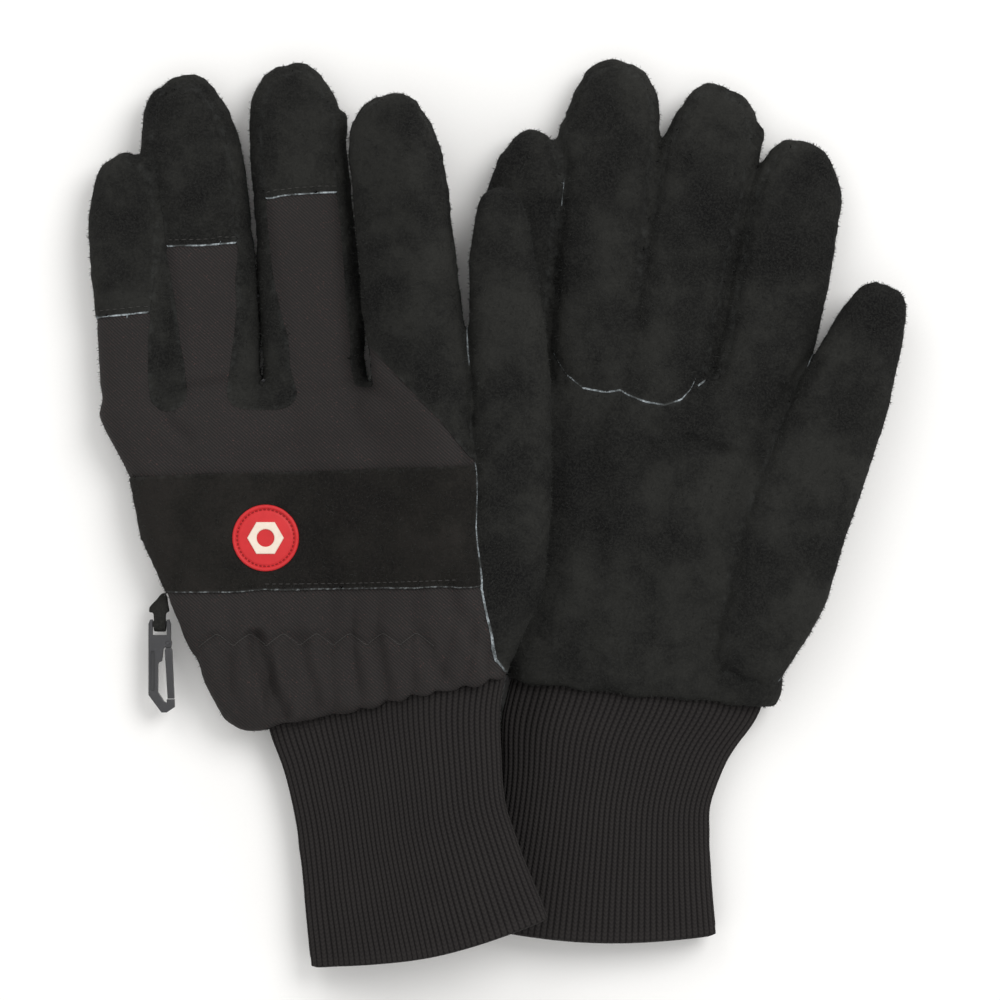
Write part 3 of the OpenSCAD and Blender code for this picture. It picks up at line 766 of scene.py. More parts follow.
def seam_fields(glove):
    """Each corner's distance to every panel, shifted so that the seams run where they are sewn."""
    co, _, gaps = hands[glove]
    biased = gaps.copy()
    # The side walls of the fingers turn up onto the backs, widest at the crotches
    low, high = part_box(f"{glove}_gusset_ring_middle")
    base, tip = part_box(f"{glove}_ring_cap")[0].y, low.y
    widen = np.clip((base - co[:, 1]) / (base - tip), 0, 1)
    facing = 1.0 if glove == "left" else -1.0
    on_back = np.clip(facing * (co[:, 2] - (low.z + high.z) / 2) / (4 * MM), 0, 1)
    for panel in ("gusset_little_ring", "gusset_ring_middle"):
        biased[:, PANELS.index(panel)] -= (0.8 + on_back * (1.5 + 4.2 * widen)) * MM
    biased[:, PANELS.index("gusset_middle_index")] -= 0.8 * MM
    for k, panel in enumerate(PANELS):
        wander, cell = (1.0, 13) if panel == "thumb_back" else (0.35, 9)
        biased[:, k] += wander * MM * lattice_noise(co, cell * MM, 40 + k)
    if glove == "right":
        # Across the palm the fingers' front ends in two lobes, one under each middle finger
        ref = middle("right_palm_panel")[:2]
        across, up = ((co[:, :2] - ref) / MM).T
        below = np.interp(across, *zip(*BASE_SEAM)) - up
        here = (across > BASE_SEAM[0][0]) & (across < BASE_SEAM[-1][0])
        here &= (np.abs(below) < 9) & (co[:, 2] > 8 * MM)
        front, palm = PANELS.index("finger_front"), PANELS.index("palm_panel")
        base = biased[:, [front, palm]].min(axis=1)
        biased[:, front] = np.where(here, base + np.maximum(below, 0) * MM, biased[:, front])
        biased[:, palm] = np.where(here, base + np.maximum(-below, 0) * MM, biased[:, palm])
    return biased


def sew_panels(glove):
    """Cuts the glove's skin along its seams, and makes each panel with its own wall."""
    co, tri, gaps = hands[glove]
    biased = seam_fields(glove)
    if glove == "left":
        co = draw_together(co, "left_badge", SLITS)
    moved, seam = crumple(glove, co, tri, biased)
    out = normals(moved, tri)
    made = {}
    for k, panel in enumerate(PANELS):
        finish, lift, wall, pale = SEWN[panel]
        others = np.delete(biased, k, axis=1).min(axis=1)
        field = np.maximum(biased[:, k] - others, gaps.min(axis=1) - 2.4 * MM)
        edge = np.full(len(co), 1.0)
        for other in pale:
            apart = np.abs(biased[:, k] - biased[:, PANELS.index(other)])
            edge = np.minimum(edge, apart)
        spots, faces, (edge, seams, way), low = split(moved, tri, field, (edge, seam, out))
        spots = spots + way * (lift * MM)
        faces = faces[low]
        faces = faces[islands(faces, len(spots), 80)]
        pale_face = np.zeros(len(faces), bool)
        if pale:
            spots, faces, (seams, way), pale_face = split(
                spots, faces, edge - 2 * EDGE, (seams, way)
            )
        seams = keep_part(seams, faces)[0]
        piece = make_object(f"{glove}_{panel}_sewn", make_mesh(panel, *keep_part(spots, faces)))
        mesh = piece.data
        cut_edge = "worn_edge" if finish == "strap_leather" else "raw_edge"
        for slot in (finish, cut_edge if pale else finish):
            mesh.materials.append(finishes[slot])
        mesh.polygons.foreach_set("material_index", pale_face.astype(np.int32))
        mark_seams(mesh, seams / MM)
        with edited(mesh) as form:
            bmesh.ops.remove_doubles(form, verts=form.verts, dist=0.1 * MM)
        give_wall(piece, wall)
        lie_on_table(piece)
        piece.data.shade_smooth()
        piece.data.set_sharp_from_angle(angle=math.radians(50))
        made[panel] = piece
        dress(piece, f"{glove}_glove", f"{glove}_{panel}")
    return moved, made, biased.argmin(axis=1)


def look(wire, colour, rough, height, strength, depth):
    """A finish's colour and roughness, and a bump of so many millimetres over a height."""
    bump = {"Strength": strength, "Distance": depth * MM, "Height": height}
    return {"Base Color": colour, "Roughness": rough, "Normal": wire.add("ShaderNodeBump", bump)}


finishes = {}


def add_finish(name, paint, shine, **more):
    finishes[name] = finish_material(name, paint, specular_ior_level=shine, **more)


def stretch_fabric(wire):
    """Black stretch twill: fine steep diagonal ribs and a few reddish specks."""
    twill = wire.add(
        "ShaderNodeTexWave",
        {"Vector": wire.place(-48), "Scale": 400.0, "Distortion": 1.2, "Detail": 2.0,
         "Detail Scale": 1.2},
        wave_type="BANDS", bands_direction="X",
    )
    specks = wire.noise(2600, 1).above(0.66, 0.74)
    ground = wire.noise(45, 3).tint(linear(45, 43, 42), linear(51, 48, 47))
    ribbed = (twill * 0.75).tint(ground, linear(29, 27, 27))
    flecked = (specks * 0.6).tint(ribbed, linear(92, 66, 63))
    return look(wire, flecked, 0.86, twill * 0.6 + wire.noise(1500, 2) * 0.5, 0.5, 0.25)


def nap(wire, low, mid, high):
    """Brushed split leather: clouds where the nap lies one way or the other, and fine fuzz."""
    cloud = wire.noise(70, 4, 0.62)
    broad = wire.noise(24, 2)
    fuzz = wire.noise(1500, 4, 0.7)
    shade = (cloud * 0.55 + broad * 0.45).above(0.36, 0.64)
    stops = ((0.0, linear(*low)), (0.5, linear(*mid)), (1.0, linear(*high)))
    ground = shade.add("ShaderNodeValToRGB", {0: shade}, stops=stops)
    napped = (fuzz.above(0.42, 0.62) * 0.34).tint(ground, linear(*(c * 1.3 for c in high)))
    worn = (1 - wire.attribute("seam").above(0.2, 1.6)) * wire.noise(420, 3).above(0.4, 0.7)
    edged = (worn * 0.14).tint(napped, linear(84, 86, 85))
    return look(wire, edged, 0.93, fuzz * 0.8 + cloud * 1.4, 0.6, 0.6)


def suede(wire):
    return nap(wire, (19, 19, 19), (29, 29, 28), (41, 41, 39))


def strap_leather(wire):
    return nap(wire, (23, 22, 21), (28, 27, 25), (36, 34, 32))


def raw_edge(wire):
    """The pale cut edge of dyed split leather, undyed inside."""
    fleck = wire.noise(1400, 3).above(0.35, 0.65)
    worn = wire.noise(170, 3).above(0.36, 0.62)
    pale = fleck.tint(linear(104, 110, 112), linear(172, 180, 184))
    return look(wire, worn.tint(linear(62, 64, 63), pale), 0.95, fleck, 0.5, 0.3)


def worn_edge(wire):
    """The strap's cut edge, rubbed dark."""
    fleck = wire.noise(900, 3).above(0.45, 0.7)
    return {"Base Color": fleck.tint(linear(48, 48, 47), linear(112, 116, 117)), "Roughness": 0.95}


for name, paint, shine in (
    ("stretch_fabric", stretch_fabric, 0.15),
    ("suede", suede, 0.08),
    ("strap_leather", strap_leather, 0.1),
    ("raw_edge", raw_edge, 0.1),
    ("worn_edge", worn_edge, 0.1),
):
    add_finish(name, paint, shine)
skins, sewn, panel_at = {}, {}, {}
for glove in GLOVES:
    skins[glove], sewn[glove], panel_at[glove] = sew_panels(glove)

# ---------------------------------------------------------------------------------------------
# The cuffs: long rib-knit tubes sewn into the wrists. Every rib is in the mesh, and the rows of
# knitting are in the finish, which follows the piece's own map.
RIB = 1.65 * MM
KNIT_ROW = 1.25 * MM
KNIT_WALL = 2.6 * MM
RIB_DEPTH = 0.5 * MM
# How many rows the mesh has from wrist to mouth, and how many columns each rib has
ROWS, PER_RIB = 104, 6
# How far the mouth sags at its middle
SAG = 3.2 * MM
# How far the lower cuff reaches under the upper one, just below its wrist
TUCKED = 5.5 * MM
# How far the upper cuff's thumb side flares at its wrist
FLARED = 2.4 * MM


def slice_at(spots, faces, y):
    """Where a mesh's edges cross a plane of constant y."""
    hits = []
    for a, b in ((0, 1), (1, 2), (2, 0)):
        p, q = spots[faces[:, a]], spots[faces[:, b]]
        across = (p[:, 1] - y) * (q[:, 1] - y) < 0
        p, q = p[across], q[across]
        part = ((y - p[:, 1]) / (q[:, 1] - p[:, 1]))[:, None]
        hits.append(p + (q - p) * part)
    return np.vstack(hits)


def even(values, rounds):
    """Evens out a row of numbers, or rows of them, with the ends held."""
    values = values.copy()
    for _ in range(rounds):
        values[1:-1] = 0.25 * values[:-2] + 0.5 * values[1:-1] + 0.25 * values[2:]
    return values


def cuff_edges(glove, spots, faces, run):
    """The tube's left and right edge in plan, row by row from the wrist to the mouth."""
    edge = {}
    for side, lean, outermost in (("left", -1, np.min), ("right", 1, np.max)):
        leaning = spots[:, 0] * lean * 0.5
        top = spots[(leaning + spots[:, 1]).argmax(), 1] - 0.6 * MM
        bottom = spots[(leaning - spots[:, 1]).argmax(), 1] + 1.2 * MM
        y = top + (bottom - top) * run
        x = even(np.array([outermost(slice_at(spots, faces, at)[:, 0]) for at in y]), 60)
        if (glove, side) == ("right", "left"):
            x -= TUCKED * np.exp(-(((run - 0.12) / 0.24) ** 2))
        if (glove, side) == ("left", "right"):
            x += FLARED * np.exp(-((run / 0.13) ** 2))
        edge[side] = np.stack([x, y], 1)
    return edge


def cuff_heights(tree, edge, share, facing):
    """The height of the solid's upper or lower face over a grid of places between the edges."""
    rows = len(edge["left"])
    grid = np.empty((rows, len(share)))
    for k in range(rows):
        for j, part in enumerate(share):
            spot = edge["left"][k] * (1 - part) + edge["right"][k] * part
            hit = tree.ray_cast((*spot, 0.2 * facing), (0, 0, -facing))[0]
            grid[k, j] = hit.z if hit else np.nan
    for k in range(rows):
        bad = np.isnan(grid[k])
        if bad.all():
            grid[k] = grid[k - 1]
        elif bad.any():
            grid[k, bad] = np.interp(share[bad], share[~bad], grid[k, ~bad])
    for _ in range(12):
        grid = even(even(grid, 1).T, 1).T
    return grid


def tube_mesh(name, rings, ribs, rows_apart):
    """Joins rings of places into a tube. Its map counts ribs across and rows of knitting along."""
    count, columns = len(rings), len(rings[0])
    index = np.arange(count * columns).reshape(count, columns)
    following = np.roll(index, -1, axis=0)
    quads = np.stack([index, np.roll(index, -1, axis=1), np.roll(following, -1, axis=1),
                      following], -1).reshape(-1, 4)
    mesh = make_mesh(name, np.vstack(rings), quads)
    loops = np.empty(len(mesh.loops), np.int32)
    mesh.loops.foreach_get("vertex_index", loops)
    ring_of, column_of = np.divmod(loops, columns)
    # Where a ring closes, its last faces end at the far side of the map
    far_corner = np.isin(np.tile(np.arange(4), len(quads)), (1, 2)) & (column_of == 0)
    u = np.where(far_corner, ribs, column_of / (columns / ribs))
    chart = mesh.uv_layers.new(name="knit")
    chart.data.foreach_set("uv", np.stack([u, ring_of * rows_apart], 1).ravel().astype(np.float32))
    return mesh


def knit_cuff(glove):
    """Builds the tube row by row from the wrist to the mouth, and then up its inside."""
    node = f"{glove}_cuff"
    run = np.linspace(0, 1, ROWS)
    edge, tree = cuff_edges(glove, *soup([node]), run), tree_of([node])
    share = np.linspace(0.1, 0.9, 40)
    top_z, low_z = (cuff_heights(tree, edge, share, facing) for facing in (1, -1))

    def section(k, turn, wall):
        """Places round one row of the tube, wall metres in from its face."""
        ends = edge["left"][k], edge["right"][k]
        width = np.linalg.norm(ends[1] - ends[0])
        span = (1 - np.cos(turn)) / 2
        reach = wall / width
        place = reach + (1 - 2 * reach) * span
        flat = ends[0] * (1 - place[:, None]) + ends[1] * place[:, None]
        high = np.interp(place, share, top_z[k])
        low = np.interp(place, share, low_z[k])
        mid, half = (high + low) / 2, (high - low) / 2 - wall
        side = np.sin(turn)
        z = mid + half * np.sign(side) * np.abs(side) ** 0.62
        flat[:, 1] -= SAG * (np.sin(math.pi * place) - 0.35) * run[k] ** 2
        return np.column_stack([flat, z])

    dense = np.linspace(0, 2 * math.pi, 1441)
    loop = section(ROWS // 2, dense, 0.0)
    length = np.concatenate([[0], np.cumsum(np.linalg.norm(np.diff(loop, axis=0), axis=1))])
    ribs = int(round(length[-1] / RIB))
    columns = np.arange(ribs * PER_RIB)
    turn = np.interp(columns / len(columns) * length[-1], length, dense)
    part = (columns % PER_RIB) / PER_RIB
    rib_height = RIB_DEPTH * (np.abs(np.cos(part * math.pi)) ** 0.8 - 0.55)
    rings = []
    for k in range(ROWS):
        ring = section(k, turn, 0.0)
        ahead, behind = np.roll(ring, -PER_RIB, 0), np.roll(ring, PER_RIB, 0)
        down = edge["left"][max(k - 1, 0)] - edge["left"][min(k + 1, ROWS - 1)]
        way = np.cross(ahead - behind, (*down, 0))
        way /= np.maximum(np.linalg.norm(way, axis=1, keepdims=True), 1e-9)
        way *= np.sign((way * (ring - ring.mean(axis=0))).sum(axis=1, keepdims=True))
        slack = 0.5 * lattice_noise(ring, 17 * MM, 21) + 0.25 * lattice_noise(ring, 6 * MM, 22)
        lip = 1.0 if k < ROWS - 4 else 0.4
        ring = ring + way * (rib_height * lip + slack * 0.6 * MM)[:, None]
        ring[:, 2] = np.maximum(ring[:, 2], 0.1 * MM)
        rings.append(ring)
    lip_row = rings[-1] * 0.5 + section(ROWS - 1, turn, KNIT_WALL) * 0.5
    lip_row[:, :2] += (edge["left"][-1] - edge["left"][-4]) * 0.25
    rings.append(lip_row)
    inner = [section(k, turn, KNIT_WALL) for k in range(ROWS - 1, -1, -9)]
    for ring in inner:
        ring += (rib_height * 0.5)[:, None] * (0, 0, 1)
    rings += inner
    rows_apart = abs(edge["left"][0, 1] - edge["left"][-1, 1]) / (ROWS - 1) / KNIT_ROW
    mesh = tube_mesh(node, rings, ribs, rows_apart)
    with edited(mesh) as form:
        bmesh.ops.recalc_face_normals(form, faces=form.faces)
    mesh.shade_smooth()
    mesh.materials.append(finishes["rib_knit"])
    dress(make_object(f"{glove}_cuff_knit", mesh), f"{glove}_glove", node)


def rib_knit(wire):
    """Black acrylic rib knit: a chain of small slanted stitches up each rib, with painted shade
    between ribs.
    """
    chart = {0: wire.add("ShaderNodeUVMap", uv_map="knit")}
    places = add_node(wire.tree, "ShaderNodeSeparateXYZ", chart)
    across, along = (Wire(wire.tree, places.outputs[axis]) for axis in "XY")
    lean = ((across + 0.5).math("FRACT") - 0.5).math("ABSOLUTE")
    loop = ((along + lean * 1.1) * (2 * math.pi)).math("SINE") * 0.5 + 0.5
    valley = lean.above(0.26, 0.5)
    ground = wire.noise(60, 2).tint(linear(35, 33, 33), linear(42, 40, 39))
    looped = (loop * 0.4).tint(ground, linear(55, 52, 51))
    # Painted shade: the valleys between the mesh's ribs are painted darker.
    dark = (valley * 0.8).tint(looped, linear(20, 18, 19))
    height = loop * 0.5 + wire.noise(1800, 3) * 0.5 - valley * 0.6
    return look(wire, dark, 0.92, height, 0.6, 0.3)


add_finish("rib_knit", rib_knit, 0.1)
for glove in GLOVES:
    knit_cuff(glove)

# ---------------------------------------------------------------------------------------------
# The linings: brushed fleece laid in three padded parts inside each shell, back, palm and thumb.
def fleece(wire):
    """Charcoal fleece, brushed into soft clumps."""
    clump = wire.noise(520, 4, 0.7)
    tuft = wire.add("ShaderNodeTexVoronoi", {"Vector": wire.place(), "Scale": 700.0})
    ground = clump.above(0.3, 0.7).tint(linear(40, 40, 42), linear(66, 66, 68))
    return look(wire, ground, 0.97, clump * 0.8 + tuft * 0.6, 0.8, 0.8)


def lay_lining(glove):
    """Sinks a coarser skin under the glove's own, and cuts it into the three padded parts."""
    skin, tri = skins[glove], hands[glove][1]
    co, faces = reskin(skin, tri, 1.2 * MM)
    co = relax(co, faces, 6)
    names = [f"{glove}_{part}" for part in LININGS]
    gaps = np.stack([gap_to(co, tree_of([name]), 12 * MM) for name in names], axis=1)
    gaps = relax(gaps, faces, 4)
    inset = relax(co - normals(co, faces) * (2.4 * MM), faces, 4)
    shell_tree = tree_over(skin, tri)
    # Wherever a crease or pucker of the shell comes too near, the fleece gives way
    for _ in range(2):
        for k, spot in enumerate(inset.tolist()):
            near, way, _, gap = shell_tree.find_nearest(spot)
            inside = (Vector(spot) - near).dot(way) < 0
            short = 2.3 * MM - (gap if inside else -gap)
            if short > 0:
                inset[k] -= np.array(way) * short
    inset = relax(inset, faces, 1)
    # Where two fingers nearly touch, nothing spans from one to the other
    sides = np.stack([inset[faces[:, k]] - inset[faces[:, k - 1]] for k in range(3)])
    faces = faces[np.linalg.norm(sides, axis=2).max(axis=0) < 3.2 * MM]
    # The fleece stops short of the knit cuff, which is sewn in past it
    knit = 2.6 * MM - gap_to(co, tree_of([f"{glove}_cuff"]), 9 * MM)
    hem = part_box(f"{glove}_lining_back")[0].y + 2 * MM
    for k, (part, name) in enumerate(zip(LININGS, names)):
        others = np.delete(gaps, k, axis=1).min(axis=1)
        field = np.maximum(gaps[:, k] - others + 0.5 * MM, np.maximum(knit, hem - co[:, 1]))
        piece = make_object(f"{name}_pad", make_mesh(name, *cut_under(inset, faces, field, 80)))
        piece.data.materials.append(finishes["fleece"])
        with edited(piece.data) as form:
            bmesh.ops.remove_doubles(form, verts=form.verts, dist=0.25 * MM)
        give_wall(piece, 2.0)
        piece.data.shade_smooth()
        dress(piece, f"{glove}_glove", name)


add_finish("fleece", fleece, 0.05, sheen_weight=0.15)
for glove in GLOVES:
    lay_lining(glove)

# ---------------------------------------------------------------------------------------------
# The badges: moulded red rubber discs sewn on the knuckle straps, with a raised rim, a ring of
# stitches in a groove, and a plain cream nut shape that has its own seat.
def turned(name, profile, steps, centre, way, looped=False, shape=lambda row, angle: 1.0):
    """Turns a profile of (radius, height) in millimetres about an upright axis. way is 1 up or
    -1 down. looped joins its last row to its first, and shape scales the radius."""
    places, quads = [], []
    for row, (radius, height) in enumerate(profile):
        for k in range(steps):
            a = 2 * math.pi * k / steps
            reach = radius * shape(row, a) * MM
            places.append((centre[0] + reach * math.cos(a), centre[1] + reach * math.sin(a),
                           centre[2] + way * height * MM))
    for j in range(len(profile) - (not looped)):
        for k in range(steps):
            n, m = (k + 1) % steps, (j + 1) % len(profile)
            quads.append((j * steps + k, j * steps + n, m * steps + n, m * steps + k))
    mesh = make_mesh(name, places, quads)
    close_up(mesh)
    return mesh


def close_up(mesh):
    """Merges doubles, fills open ends, and turns the faces outwards."""
    with edited(mesh) as form:
        bmesh.ops.remove_doubles(form, verts=form.verts, dist=0.001 * MM)
        bmesh.ops.holes_fill(form, edges=form.edges, sides=0)
        bmesh.ops.recalc_face_normals(form, faces=form.faces)
    mesh.shade_smooth()


def badge_rubber(wire):
    """Soft red moulded rubber, a little faded."""
    cloud = wire.noise(260, 3)
    red = cloud.tint(linear(186, 30, 34), linear(214, 44, 48))
    return look(wire, red, cloud * 0.15 + 0.42, wire.noise(2600, 2), 0.25, 0.15)


def motif_rubber(wire):
    cream = wire.noise(500, 3).tint(linear(226, 208, 190), linear(244, 232, 216))
    return look(wire, cream, 0.5, wire.noise(2400, 2), 0.2, 0.15)


def badge_thread(wire):
    twist = wire.noise(3000, 2)
    return look(wire, twist.tint(linear(120, 14, 18), linear(158, 24, 28)), 0.7, twist, 0.4, 0.1)


def grow(piece, name, values, build):
    """Puts a Geometry Nodes tree with named numbers on a piece, and applies it. build adds the
    nodes between the piece and what comes out."""
    tree = bpy.data.node_groups.new(name, "GeometryNodeTree")
    face = tree.interface
    face.new_socket("Geometry", in_out="INPUT", socket_type="NodeSocketGeometry")
    sockets = {
        label: face.new_socket(label, in_out="INPUT", socket_type="NodeSocketFloat").identifier
        for label in values
    }
    face.new_socket("Geometry", in_out="OUTPUT", socket_type="NodeSocketGeometry")

    def add(kind, sockets=None, **settings):
        return add_node(tree, kind, sockets, **settings).outputs

    add("NodeGroupOutput", {"Geometry": build(add, add("NodeGroupInput"))})
    modifier = piece.modifiers.new(name, "NODES")
    modifier.node_group = tree
    for label, value in values.items():
        modifier[sockets[label]] = value
    settle(piece)


def grow_stitches(name, lines, pitch, thread, length, finish, body):
    """Geometry Nodes lay one rounded stitch at every pitch along lines of places on a surface."""
    def stitches(add, given):
        curve = add("GeometryNodeMeshToCurve", {"Mesh": given["Geometry"]})["Curve"]
        evened = add("GeometryNodeResampleCurve", {"Curve": curve, "Length": given["Pitch"]},
                     mode="LENGTH")["Curve"]
        bead = add("GeometryNodeMeshUVSphere", {"Segments": 8, "Rings": 6, "Radius": 1.0})["Mesh"]
        size = add("ShaderNodeCombineXYZ", {
            "X": given["Thread"], "Y": given["Thread"], "Z": given["Length"],
        })["Vector"]
        shaped = add("GeometryNodeTransform", {"Geometry": bead, "Scale": size})["Geometry"]
        tangent = add("GeometryNodeInputTangent")["Tangent"]
        turn = add("FunctionNodeAlignEulerToVector", {"Vector": tangent}, axis="Z")["Rotation"]
        laid = add("GeometryNodeInstanceOnPoints", {
            "Points": evened, "Instance": shaped, "Rotation": turn,
        })["Instances"]
        real = add("GeometryNodeRealizeInstances", {"Geometry": laid})["Geometry"]
        smooth = add("GeometryNodeSetShadeSmooth", {"Geometry": real})["Geometry"]
        paint = {"Geometry": smooth, "Material": finishes[finish]}
        return add("GeometryNodeSetMaterial", paint)["Geometry"]

    places, edges = [], []
    for line in lines:
        edges += [(len(places) + k, len(places) + k + 1) for k in range(len(line) - 1)]
        places += [tuple(p) for p in line]
    mesh = bpy.data.meshes.new(name)
    mesh.from_pydata(places, edges, [])
    row = make_object(name, mesh)
    sizes = {"Pitch": pitch * MM, "Thread": thread / 2 * MM, "Length": length / 2 * MM}
    grow(row, f"{name}_rows", sizes, stitches)
    dress(row, body)


for name, paint in (
    ("badge_rubber", badge_rubber), ("motif_rubber", motif_rubber), ("badge_thread", badge_thread),
):
    add_finish(name, paint, 0.35)

# The disc's half section and its sewing groove, as radius and height in millimetres
BADGE_FACE = (
    (0.0, 0.0), (9.9, 0.0), (10.2, 0.35), (10.2, 1.05), (10.0, 1.42), (9.6, 1.52), (9.2, 1.4),
    (9.05, 1.1), (8.85, 0.98), (8.5, 0.98), (8.3, 1.08), (8.1, 1.22), (7.8, 1.28), (0.0, 1.3),
)
# The radius and height of the stitches in that groove
GROOVE, GROOVE_FLOOR = 8.67, 1.03
# How far a badge is pressed into its strap, and how far the lower one stays off the table
PRESSED, CLEAR = 0.35 * MM, 1.75 * MM


def trees(pieces):
    """One tree of faces over finished pieces."""
    return tree_over(*joined(piece.data for piece in pieces))


def around(centre, radius, count):
    """Places round a circle in plan, in metres, with its radius in millimetres."""
    return [
        (centre[0] + radius * MM * math.cos(a), centre[1] + radius * MM * math.sin(a))
        for a in (2 * math.pi * k / count for k in range(count))
    ]


def seat_badge(glove):
    """Sets the badge on the strap as that is finished. The right one is under its glove."""
    way = 1 if glove == "left" else -1
    spot = middle(f"{glove}_badge")
    strap = trees([sewn[glove]["knuckle_strap"]])
    hits = [strap.ray_cast((x, y, way * 0.1), (0, 0, -way))[0] for x, y in around(spot, 7, 24)]
    heights = sorted(hit.z for hit in hits if hit)
    base = heights[len(heights) // 2] - way * PRESSED
    if way < 0:
        base = max(base, CLEAR)
    centre = (spot[0], spot[1], base)
    disc = make_object(f"{glove}_badge_disc",
                       turned(f"{glove}_badge_disc", BADGE_FACE, 96, centre, way))
    disc.data.materials.append(finishes["badge_rubber"])
    ring = [(x, y, base + way * GROOVE_FLOOR * MM) for x, y in around(centre, GROOVE, 144)]
    grow_stitches(f"{glove}_badge_stitches", [ring + ring[:1]], 1.24, 0.42, 0.95, "badge_thread",
                  f"{glove}_glove")
    low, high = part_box(f"{glove}_badge_motif")
    across, hole = (high.x - low.x) / 2 / MM, 2.7
    rows = ((across, 1.0), (across, 1.55), (across - 0.22, 1.75),
            (hole + 0.22, 1.75), (hole, 1.55), (hole, 1.0))
    sector = math.pi / 6

    def hexagon(row, angle):
        """The nut's outer three rows have six flats, and its hole is round."""
        return math.cos(sector) / math.cos(angle % (2 * sector) - sector) if row < 3 else 1.0

    mesh = turned(f"{glove}_motif", rows, 48, centre, way, True, hexagon)
    mesh.set_sharp_from_angle(angle=math.radians(35))
    motif = make_object(f"{glove}_badge_nut", mesh)
    mesh.materials.append(finishes["motif_rubber"])
    dress(disc, f"{glove}_glove", f"{glove}_badge")
    dress(motif, f"{glove}_glove", f"{glove}_badge_motif")


for glove in GLOVES:
    seat_badge(glove)

# ---------------------------------------------------------------------------------------------
# The hook: a moulded plastic snap hook with a sprung gate, on a stitched leather tab. The hook
# and its gate are the frame's own shapes with rounded edges and a channel down each face.
def hook_plastic(wire):
    """Black glass-filled plastic, satin, with rubbed grey flecks."""
    grain = wire.noise(1400, 4)
    cloud = wire.noise(160, 2)
    ground = cloud.tint(linear(34, 34, 36), linear(50, 50, 53))
    rubbed = (grain.above(0.55, 0.8) * 0.4).tint(ground, linear(80, 80, 83))
    return look(wire, rubbed, cloud * 0.2 + 0.28, grain, 0.3, 0.1)


def tab_leather(wire):
    return nap(wire, (28, 28, 27), (36, 36, 34), (46, 46, 44))


add_finish("hook_plastic", hook_plastic, 0.6)
add_finish("tab_leather", tab_leather, 0.12)


def welded(node):
    """A copy of a frame node's mesh with its triangles joined."""
    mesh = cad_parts[node].data.copy()
    mesh.materials.clear()
    with edited(mesh) as form:
        bmesh.ops.remove_doubles(form, verts=form.verts, dist=0.002 * MM)
        bmesh.ops.dissolve_limit(form, angle_limit=math.radians(1), verts=form.verts,
                                 edges=form.edges)
    return make_object(f"{node}_made", mesh)


def round_edges(piece, width, finish):
    """Rounds a piece's edges by so many millimetres and gives it its finish."""
    soften = piece.modifiers.new("edge", "BEVEL")
    soften.width, soften.segments, soften.limit_method = width * MM, 3, "ANGLE"
    soften.angle_limit = math.radians(35)
    settle(piece)
    piece.data.shade_smooth()
    piece.data.set_sharp_from_angle(angle=math.radians(40))
    piece.data.materials.clear()
    piece.data.materials.append(finishes[finish])


def slot_block(low, high):
    """A long block with a rounded plan, as a mesh object, to cut a channel with."""
    (x0, y0, z0), (x1, y1, z1) = low, high
    radius, outline = (x1 - x0) / 2, []
    for start, y in ((0, y1 - radius), (math.pi, y0 + radius)):
        for a in (start + math.pi * k / 24 for k in range(25)):
            outline.append((x0 + radius + radius * math.cos(a), y + radius * math.sin(a)))
    n = len(outline)
    places = [(x, y, z0) for x, y in outline] + [(x, y, z1) for x, y in outline]
    quads = [(k, (k + 1) % n, n + (k + 1) % n, n + k) for k in range(n)]
    mesh = make_mesh("channel", places, quads)
    close_up(mesh)
    return make_object("channel", mesh)


def mould_hook():
    """The hook's body with a channel down each face of its spine, and its gate."""
    hook = welded("hook_body")
    low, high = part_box("hook_body")
    spine, foot, shoulder = low.x + 0.7 * MM, low.y + 6.6 * MM, high.y - 9.6 * MM
    for z0, z1 in ((high.z - 0.8 * MM, high.z + 2 * MM), (low.z - 2 * MM, low.z + 0.8 * MM)):
        channel = slot_block((spine, foot, z0), (spine + 1.25 * MM, shoulder, z1))
        cut = hook.modifiers.new("channel", "BOOLEAN")
        cut.operation, cut.object, cut.solver = "DIFFERENCE", channel, "EXACT"
        settle(hook)
        bpy.data.objects.remove(channel)
    round_edges(hook, 0.28, "hook_plastic")
    dress(hook, "snap_hook", "hook_body")
    gate = welded("hook_gate")
    round_edges(gate, 0.22, "hook_plastic")
    dress(gate, "gate", "hook_gate")


def fold_tab():
    """The tab's leather, softened at its edges and a little uneven."""
    co, faces = reskin(*soup(["hook_tab"]), 0.3 * MM)
    co = relax(co, faces, 5)
    co += normals(co, faces) * (0.12 * MM * lattice_noise(co, 1.6 * MM, 31))[:, None]
    tab = make_object("hook_tab_folded", make_mesh("hook_tab", co, faces))
    tab.data.materials.append(finishes["tab_leather"])
    mark_seams(tab.data, np.full(len(co), 3.0))
    dress(tab, "hook_flap", "hook_tab")


mould_hook()
fold_tab()

# ---------------------------------------------------------------------------------------------
# The wrist elastics: flat woven bands under the fabric of each wrist. They are taken from the
# glove's own skin, so that they follow its puckers between the shell and the fleece.
def woven_elastic(wire):
    """Black woven elastic, with cords across its width."""
    cords = wire.add(
        "ShaderNodeTexWave", {"Vector": wire.place(), "Scale": 260.0, "Distortion": 0.4},
        wave_type="BANDS", bands_direction="Y",
    )
    black = cords.tint(linear(24, 24, 24), linear(52, 51, 50))
    return look(wire, black, 0.85, cords * 0.7 + wire.noise(1200, 2) * 0.3, 0.6, 0.4)


